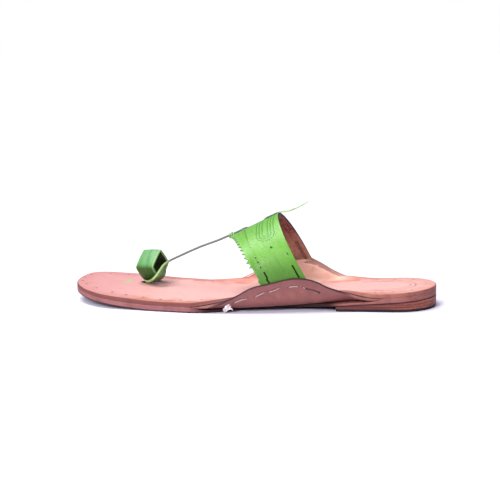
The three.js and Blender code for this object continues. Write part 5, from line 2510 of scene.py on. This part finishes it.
@dataclass(frozen=True)
class BandGrain:
    """Lime green upper side of the band: tooled loops, punched holes painted dark as their shade, and a
    deeper green low down.
    """

    light: Colour = (0.15, 0.43, 0.05)
    lime: Colour = (0.13, 0.40, 0.02)
    deep: Colour = (0.075, 0.24, 0.008)
    line: Colour = (0.055, 0.22, 0.03)
    dot: Colour = (0.06, 0.25, 0.13)
    hole: Colour = (0.012, 0.03, 0.012)
    worn: Colour = (0.5, 0.8, 0.35)
    loop_widths: tuple[float, ...] = (2.1, 4.5, 6.9)
    front_line: float = 8.6

    def tooling(self, s: Surface, across: Input, down: Input, field: Input) -> Socket:
        """Distance from the tooled lines: the loops, each a width in the loops' field, and one line before.

        Args:
            s: The material.
            across: Millimetres from the front edge.
            down: Millimetres from the crest.
            field: Distance from the middle line of the loops.

        Returns:
            The distance.
        """
        nearest = s.away(field, self.loop_widths[0])
        for width in self.loop_widths[1:]:
            nearest = s.least(nearest, s.away(field, width))
        front = s.away(across, s.total((-0.08, down), (self.front_line, 1.0)))
        nearest = s.least(nearest, s.plus(front, s.ramp(down, 33.0, 37.0, 0.0, 9.0)))
        return s.plus(nearest, s.ramp(down, 3.4, 2.0, 0.0, 9.0))

    def material(self, effects: Effects) -> bpy.types.Material:
        """The finish as a material.

        Args:
            effects: Shared node groups.

        Returns:
            The material.
        """
        s = Surface("band_grain", 0.45)
        _, across, run, field = s.attribute("plan")
        marks, _, _, down = s.attribute("marks")
        place = s.vector(across, run)
        grain = s.effect(effects.grain, Place=place, Size=0.7)
        streak = s.noise(s.times(place, (0.5, 0.045, 0.0)), 1.0, 4.0, 0.6)
        fall = s.total((1.0, down), (9.0, streak), (-0.22, across))
        s.colour = s.mix(s.ramp(fall, 14.0, 36.0), self.light, self.lime)
        s.over(self.deep, s.ramp(fall, 40.0, 60.0))
        s.over(self.lime, grain["Tone"], 0.28)
        s.over(self.line, s.ramp(streak, 0.52, 0.66), 0.35)
        scored = s.effect(effects.scored, Distance=self.tooling(s, across, down, field), Width=0.46)
        low = s.ramp(down, Band.loop_bottom - 6.0, Band.loop_bottom - 1.0)
        beat = s.math("SINE", s.by(s.plus(across, s.by(down, 0.6)), 4.2))
        dotted = s.by(s.ramp(beat, -0.1, 0.5), low)
        press = s.by(scored["Line"], s.plus(s.minus(1.0, low), dotted))
        s.over(self.line, press, 0.85)
        s.over(self.dot, s.by(scored["Line"], dotted), 0.7)
        # The punched holes are not cut: a nearly black disc of painted shade stands for each
        hole = s.effect(effects.punched, Offset=marks, Radius=0.62)
        s.over(self.deep, hole["Halo"], 0.3)
        s.over(self.hole, hole["Hole"])
        s.over(self.worn, s.effect(effects.worn, Distance=across, Reach=0.9, Place=place)["Mask"], 0.4)
        rough = s.total((0.12, grain["Tone"]), (0.12, streak), (0.25, 1.0))
        height = s.total((0.3, grain["Height"]), (-1.2, press), (1.8, hole["Height"]), (0.5, streak))
        return s.dress(rough, height, 0.2)


@dataclass(frozen=True)
class BandEdge:
    """Cut edge of the band: green at its teeth, almost black at its rear edge, low down and in its slits,
    where the black is painted shade.
    """

    front: Colour = (0.2, 0.5, 0.1)
    dark: Colour = (0.012, 0.022, 0.01)

    def material(self, effects: Effects) -> bpy.types.Material:
        """The finish as a material.

        Args:
            effects: Shared node groups.

        Returns:
            The material.
        """
        s = Surface("band_edge", 0.3)
        _, across, run, _ = s.attribute("plan")
        down = s.attribute("marks")[3]
        fibres = s.effect(effects.fibres, Run=run, Height=across, Spacing=0.6)
        # Away from the teeth the edge is laid almost black, which also paints the shade in the slits
        dark_edge_and_slit_shade = s.math("MAXIMUM", s.ramp(across, 2.4, 3.4), s.ramp(down, 47.0, 52.0))
        s.colour = s.mix(dark_edge_and_slit_shade, self.front, self.dark)
        s.over(self.dark, fibres["Streak"], 0.3)
        return s.dress(s.total((0.2, fibres["Streak"]), (0.5, 1.0)), fibres["Height"], 0.15)


@dataclass(frozen=True)
class BandFlesh:
    """Brown-red flesh side of the band, streaked and rubbed orange low down."""

    base: Colour = (0.38, 0.165, 0.135)
    dark: Colour = (0.18, 0.065, 0.065)
    orange: Colour = (0.8, 0.22, 0.1)
    tan: Colour = (0.95, 0.5, 0.37)

    def material(self, effects: Effects) -> bpy.types.Material:
        """The finish as a material.

        Args:
            effects: Shared node groups.

        Returns:
            The material.
        """
        s = Surface("band_flesh", 0.2)
        _, across, run, _ = s.attribute("plan")
        down = s.attribute("marks")[3]
        place = s.vector(across, run)
        nap = s.noise(place, 1.3, 5.0, 0.7)
        streak = s.noise(s.times(place, (0.42, 0.12, 0.0)), 1.0, 5.0, 0.65)
        patches = s.effect(effects.smudges, Place=place, Size=2.2, Amount=0.5)
        s.colour = s.mix(s.ramp(streak, 0.38, 0.62), self.dark, self.base)
        s.over(self.tan, s.ramp(s.total((1.0, down), (14.0, streak)), 38.0, 56.0), 0.8)
        s.over(self.orange, s.by(patches["Mask"], s.ramp(down, 16.0, 30.0)), 0.85)
        return s.dress(s.total((0.1, nap), (0.75, 1.0)), s.total((1.0, nap), (0.5, streak)), 0.3)


@dataclass(frozen=True)
class RingGloss:
    """Glossy dyed strip of the toe ring, streaked along it, with painted shade on its lower part and brown
    patches there.
    """

    name: str = "ring_gloss"
    green: Colour = (0.08, 0.27, 0.078)
    light: Colour = (0.16, 0.38, 0.14)
    dark: Colour = (0.025, 0.09, 0.003)
    earthy: Colour = (0.14, 0.09, 0.006)
    worn: Colour = (0.35, 0.62, 0.25)
    half_width: float = 6.75

    def material(self, effects: Effects) -> bpy.types.Material:
        """The finish as a material.

        Args:
            effects: Shared node groups.

        Returns:
            The material.
        """
        s = Surface(self.name, 0.14, {"Coat Weight": 0.08, "Coat Roughness": 0.1, "Coat IOR": 1.5})
        place, _, across, _ = s.attribute("plan")
        grain = s.effect(effects.grain, Place=place, Size=0.9)
        streak = s.noise(s.times(place, (0.06, 0.7, 0.7)), 1.0, 4.0, 0.6)
        patches = s.effect(effects.smudges, Place=place, Size=5.0, Amount=0.42)
        s.colour = s.mix(s.ramp(streak, 0.36, 0.64), self.green, self.light)
        # Painted shade: the ring's lower part is laid darker, with brown patches there
        low = s.ramp(s.place()[3], 24.5, 19.5)
        s.over(self.dark, low, 0.7)
        s.over(self.earthy, s.by(patches["Mask"], low), 0.8)
        inward = s.minus(self.half_width, s.math("ABSOLUTE", across))
        s.over(self.worn, s.effect(effects.worn, Distance=inward, Reach=0.7, Place=place)["Mask"], 0.45)
        rough = s.total((0.16, grain["Tone"]), (0.1, streak), (0.2, 1.0))
        return s.dress(rough, s.total((0.4, grain["Height"]), (0.6, streak)), 0.09)


@dataclass(frozen=True)
class LaceThong:
    """Cut thong of the lace: light green at its foot and tip, dark grey-green between."""

    foot: Colour = (0.42, 0.60, 0.20)
    grey: Colour = (0.15, 0.19, 0.135)
    crest: Colour = (0.04, 0.075, 0.035)
    tip: Colour = (0.6, 0.85, 0.4)
    soiled: Colour = (0.16, 0.24, 0.12)
    foot_end: tuple[float, float] = (25.0, 33.0)
    crest_start: tuple[float, float] = (96.0, 104.0)
    tip_start: tuple[float, float] = (121.0, 128.0)

    def material(self, effects: Effects) -> bpy.types.Material:
        """The finish as a material.

        Args:
            effects: Shared node groups.

        Returns:
            The material.
        """
        s = Surface("lace_thong", 0.4)
        _, run, around, _ = s.attribute("plan")
        fibres = s.effect(effects.fibres, Run=run, Height=s.by(around, 5.0), Spacing=0.5)
        s.colour = s.mix(s.ramp(run, *self.foot_end), self.foot, self.grey)
        s.over(self.crest, s.ramp(run, *self.crest_start))
        s.over(self.tip, s.ramp(run, *self.tip_start))
        patches = s.effect(effects.smudges, Place=s.vector(run, around), Size=6.0, Amount=0.5)
        s.over(self.soiled, patches["Mask"], 0.4)
        s.over(self.grey, fibres["Streak"], 0.4)
        return s.dress(s.total((0.2, fibres["Streak"]), (0.4, 1.0)), fibres["Height"], 0.2)


@dataclass(frozen=True)
class LeafLeather:
    """Flat of the strip at the lace's foot, striped green."""

    light: Colour = (0.115, 0.19, 0.05)
    dark: Colour = (0.03, 0.065, 0.018)

    def material(self, effects: Effects) -> bpy.types.Material:
        """The finish as a material.

        Args:
            effects: Shared node groups.

        Returns:
            The material.
        """
        s = Surface("leaf_leather", 0.45)
        _, run, across, _ = s.attribute("plan")
        fibres = s.effect(effects.fibres, Run=run, Height=across, Spacing=0.8)
        grain = s.effect(effects.grain, Place=s.vector(run, across), Size=0.8)
        s.colour = s.mix(fibres["Streak"], self.dark, self.light)
        return s.dress(s.total((0.2, grain["Tone"]), (0.35, 1.0)), fibres["Height"], 0.2)


@dataclass(frozen=True)
class PaleHide:
    """Pale thongs and raw hide, creased, grey in patches, with painted shade in their folds."""

    name: str
    pale: Colour
    shade: Colour
    size: float
    creased: float

    def material(self, effects: Effects) -> bpy.types.Material:
        """The finish as a material.

        Args:
            effects: Shared node groups.

        Returns:
            The material.
        """
        s = Surface(self.name, 0.3)
        place = s.place()[0]
        grain = s.effect(effects.grain, Place=place, Size=self.size)
        folds = s.noise(place, 0.55, 5.0, 0.65)
        patches = s.effect(effects.smudges, Place=place, Size=1.8, Amount=self.creased)
        s.colour = s.mix(s.by(patches["Mask"], 0.6), self.pale, self.shade)
        # Painted shade in the folds
        s.over(self.shade, s.ramp(folds, 0.48, 0.4), 0.5)
        height = s.total((0.5, grain["Height"]), (1.2, folds))
        return s.dress(s.total((0.2, grain["Tone"]), (0.5, 1.0)), height, 0.3)


@dataclass(frozen=True)
class WhitePaper:
    """Matt white floor of the studio, a little violet."""

    paper: Colour = (0.605, 0.58, 0.69)
    fleck: Colour = (0.59, 0.575, 0.67)

    def material(self) -> bpy.types.Material:
        """The finish as a material.

        Returns:
            The material.
        """
        s = Surface("white_paper", 0.0)
        s.tone = 1.0
        flecks = s.noise(s.place()[0], 0.06, 3.0)
        s.colour = s.mix(s.by(flecks, 0.02), self.paper, self.fleck)
        return s.dress(s.total((0.05, flecks), (0.9, 1.0)), flecks, 0.02)


@dataclass(frozen=True)
class Finishes:
    """Materials of the sandal: grain side, cut edge and flesh side of each leather."""

    sole: Materials
    heel: Materials
    bottom: Materials
    insole: Materials
    ear: Materials
    thong: Materials
    hide: Materials
    band: Materials
    lining: Materials
    ring: Materials
    lace: Materials
    leaf: Materials

    @classmethod
    def build(cls) -> Finishes:
        """Makes every material once.

        Returns:
            The materials by piece.
        """
        fx = Effects.build()
        sole_browns = (0.35, 0.13, 0.132), (0.42, 0.135, 0.113), (0.45, 0.205, 0.195), (0.16, 0.042, 0.046)
        rim_browns = (0.225, 0.068, 0.06), (0.49, 0.185, 0.14), (0.32, 0.115, 0.1), (0.15, 0.04, 0.038)
        sole_edge = CutEdge("outsole_edge", *sole_browns, waist_painted_shade=0.97).material(fx)
        rim = CutEdge("insole_edge", *rim_browns, 2.6, 0.5, 0.02, wing_painted_light=0.85).material(fx)
        heel_bottom = DarkLeather("heel_bottom", (0.022, 0.012, 0.016), (0.10, 0.06, 0.05), 0.25, 4.0)
        thong = PaleHide("thong_pale", (0.60, 0.38, 0.385), (0.34, 0.15, 0.155), 0.7, 0.45)
        hide = PaleHide("raw_hide", (1.2, 1.06, 1.06), (0.4, 0.3, 0.33), 0.9, 0.55)
        # Painted shade: the dark sheets behind the band's slits, and their far side
        slit_shade = DarkLeather("slit_shade", (0.02, 0.06, 0.012), (0.05, 0.12, 0.02))
        shade_sheet_flesh = DarkLeather("slit_lining", (0.42, 0.18, 0.14), (0.6, 0.28, 0.2))
        ring_edge = RingGloss("ring_edge", (0.2, 0.5, 0.13), (0.3, 0.62, 0.2), (0.1, 0.33, 0.06))
        # Painted shade: the flesh side inside the ring is laid nearly black green instead of its own brown
        ring_flesh_painted_shade = DarkLeather("ring_flesh_painted_shade", (0.03, 0.06, 0.014), (0.09, 0.19, 0.04), 0.45, 6.0)
        return cls(
            sole=(sole_edge, sole_edge, DarkLeather("outsole_underside").material(fx)),
            heel=(HeelStack().material(fx),),
            bottom=(heel_bottom.material(fx),),
            insole=(InsoleGrain().material(fx), rim, rim),
            ear=(EarGrain().material(fx), RimLeather().material(fx)),
            thong=(thong.material(fx),),
            hide=(hide.material(fx),),
            band=(BandGrain().material(fx), BandEdge().material(fx), BandFlesh().material(fx)),
            lining=(slit_shade.material(fx), shade_sheet_flesh.material(fx)),
            ring=(RingGloss().material(fx), ring_edge.material(fx), ring_flesh_painted_shade.material(fx)),
            lace=(LaceThong().material(fx),),
            leaf=(LeafLeather().material(fx),),
        )


def make_piece(
    name: str, shell: Shell, materials: Materials, node: str = "", bevel: float = 0.0
) -> bpy.types.Object:
    """A mesh object in the row frame, in metres, that rides on the sandal.

    Args:
        name: Name of the piece.
        shell: Its surface, in millimetres.
        materials: Materials by material place; the last also serves the places after it.
        node: CAD node that it replaces, or none.
        bevel: Width of a Bevel modifier over its sharp edges, in millimetres.

    Returns:
        The piece.
    """
    mesh = bpy.data.meshes.new(name)
    points = (shell.points + [0, LAST.middle_shift, 0]) * MM
    mesh.from_pydata(points.tolist(), [], shell.faces.tolist())
    for key, value in shell.values.items():
        attribute = mesh.attributes.new(key, "FLOAT_VECTOR", "POINT")
        attribute.data.foreach_set("vector", value.astype(np.float32).ravel())
    for material in materials:
        mesh.materials.append(material)
    mesh.polygons.foreach_set("material_index", np.minimum(shell.places, len(materials) - 1).astype(np.int32))
    mesh.polygons.foreach_set("use_smooth", np.ones(len(shell.faces), bool))
    merged = bmesh.new()
    merged.from_mesh(mesh)
    bmesh.ops.remove_doubles(merged, verts=merged.verts, dist=MERGE_WITHIN)
    bmesh.ops.dissolve_degenerate(merged, edges=merged.edges, dist=DISSOLVE_WITHIN)
    merged.to_mesh(mesh)
    merged.free()
    mesh.set_sharp_from_angle(angle=SHARP_FROM)
    mesh.update()
    piece = bpy.data.objects.new(name, mesh)
    bpy.context.scene.collection.objects.link(piece)
    if bevel:
        rounded = piece.modifiers.new("rounded_edge", "BEVEL")
        rounded.width, rounded.segments, rounded.limit_method = bevel * MM, 2, "ANGLE"
        rounded.angle_limit, rounded.use_clamp_overlap = BEVEL_FROM, False
    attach(piece, BODY)
    if node:
        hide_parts(node)
    LOG.info("%s: %d faces", name, len(mesh.polygons))
    return piece


@dataclass
class Studio:
    """White floor, soft light from above and behind, and the camera at the photograph's angle."""

    azimuth: float = 7.0
    elevation: float = 9.712
    distance: float = 0.9
    target: tuple[float, float, float] = (-0.003354, 0.001472, 0.036502)
    lens: float = 90.747
    floor_reach: float = 12.0
    floor_lines: int = 9
    sun_from: tuple[float, float, float] = (-0.28, 0.04, 0.95)
    sun_strength: float = 4.5
    sun_angle: float = 44.0
    sky: float = 0.4
    # Place, length of side and power of each soft box
    satin_box: tuple[tuple[float, float, float], float, float] = ((-0.32, -0.82, 0.42), 0.34, 11.5)
    glint_box: tuple[tuple[float, float, float], float, float] = ((0.55, -0.75, 0.7), 0.12, 1.0)

    def camera(self) -> None:
        """Camera looking down at the sandal's outer side."""
        a, e = np.radians(self.azimuth), np.radians(self.elevation)
        back = Vector((np.sin(a) * np.cos(e), -np.cos(a) * np.cos(e), np.sin(e)))
        data = bpy.data.cameras.new("camera")
        data.lens, data.sensor_width = self.lens, 36
        data.clip_start, data.clip_end = 0.05, 60
        camera = bpy.data.objects.new("camera", data)
        camera.location = Vector(self.target) + back * self.distance
        camera.rotation_mode = "QUATERNION"
        camera.rotation_quaternion = (-back).to_track_quat("-Z", "Y")
        bpy.context.scene.collection.objects.link(camera)
        bpy.context.scene.camera = camera

    def sun(self) -> None:
        """One wide sun."""
        data = bpy.data.lights.new("soft_sun", "SUN")
        data.energy, data.angle = self.sun_strength, np.radians(self.sun_angle)
        lamp = bpy.data.objects.new("soft_sun", data)
        lamp.rotation_mode = "QUATERNION"
        lamp.rotation_quaternion = (-Vector(self.sun_from)).to_track_quat("-Z", "Y")
        bpy.context.scene.collection.objects.link(lamp)

    def box(self, name: str, place: tuple[float, float, float], size: float, power: float) -> None:
        """One square soft box that looks at the sandal.

        Args:
            name: Name of the lamp.
            place: Where it hangs.
            size: Length of its side.
            power: Its power.
        """
        data = bpy.data.lights.new(name, "AREA")
        data.shape, data.size, data.energy = "SQUARE", size, power
        lamp = bpy.data.objects.new(name, data)
        lamp.location = place
        lamp.rotation_mode = "QUATERNION"
        lamp.rotation_quaternion = (Vector((0, 0, 0.03)) - Vector(place)).to_track_quat("-Z", "Y")
        bpy.context.scene.collection.objects.link(lamp)

    def floor(self) -> None:
        """Flat white floor: a grid of squares."""
        line = np.linspace(-self.floor_reach, self.floor_reach, self.floor_lines)
        x, y = np.meshgrid(line, line, indexing="ij")
        points = np.stack([x, y, 0 * x], -1).reshape(-1, 3)
        mesh = bpy.data.meshes.new("white_floor")
        mesh.from_pydata(points.tolist(), [], grid_faces(self.floor_lines, self.floor_lines).tolist())
        mesh.materials.append(WhitePaper().material())
        floor = bpy.data.objects.new("white_floor", mesh)
        bpy.context.scene.collection.objects.link(floor)

    def world(self) -> None:
        """Even sky: white where the camera sees it, weaker as light."""
        world = bpy.data.worlds.new("studio")
        world.use_nodes = True
        graph = Graph(world.node_tree)
        weak = world.node_tree.nodes["Background"]
        weak.inputs["Color"].default_value = (0.96, 0.95, 1.0, 1.0)
        weak.inputs["Strength"].default_value = self.sky
        white = graph.node("ShaderNodeBackground", {"Color": (1.0, 1.0, 1.0, 1.0), "Strength": 1.0})
        seen = graph.node("ShaderNodeLightPath", {}).outputs["Is Camera Ray"]
        both = graph.node("ShaderNodeMixShader", {0: seen, 1: weak.outputs[0], 2: white.outputs[0]})
        world.node_tree.links.new(both.outputs[0], world.node_tree.nodes["World Output"].inputs[0])
        bpy.context.scene.world = world

    def build(self) -> None:
        """Camera, lights, floor and world."""
        self.camera()
        self.floor()
        self.sun()
        self.box("satin_box", *self.satin_box)
        self.box("glint_box", *self.glint_box)
        self.world()
        bpy.context.scene.view_settings.view_transform = "Standard"


def main() -> None:
    """Builds the sandal and the studio."""
    logging.basicConfig(level=logging.INFO, format="%(message)s")
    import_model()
    Studio().build()
    looks = Finishes.build()
    band, ring = Band(), ToeRing()
    pieces = Lace().build(looks, ring, band)
    pieces += Sole().build(looks) + Insole().build(looks)
    for side in Side:
        pieces += Ear(side).build(looks)
    pieces += band.build(looks) + ring.build(looks)
    LOG.info("%d pieces", len(pieces))


if __name__ == "__main__":
    main()
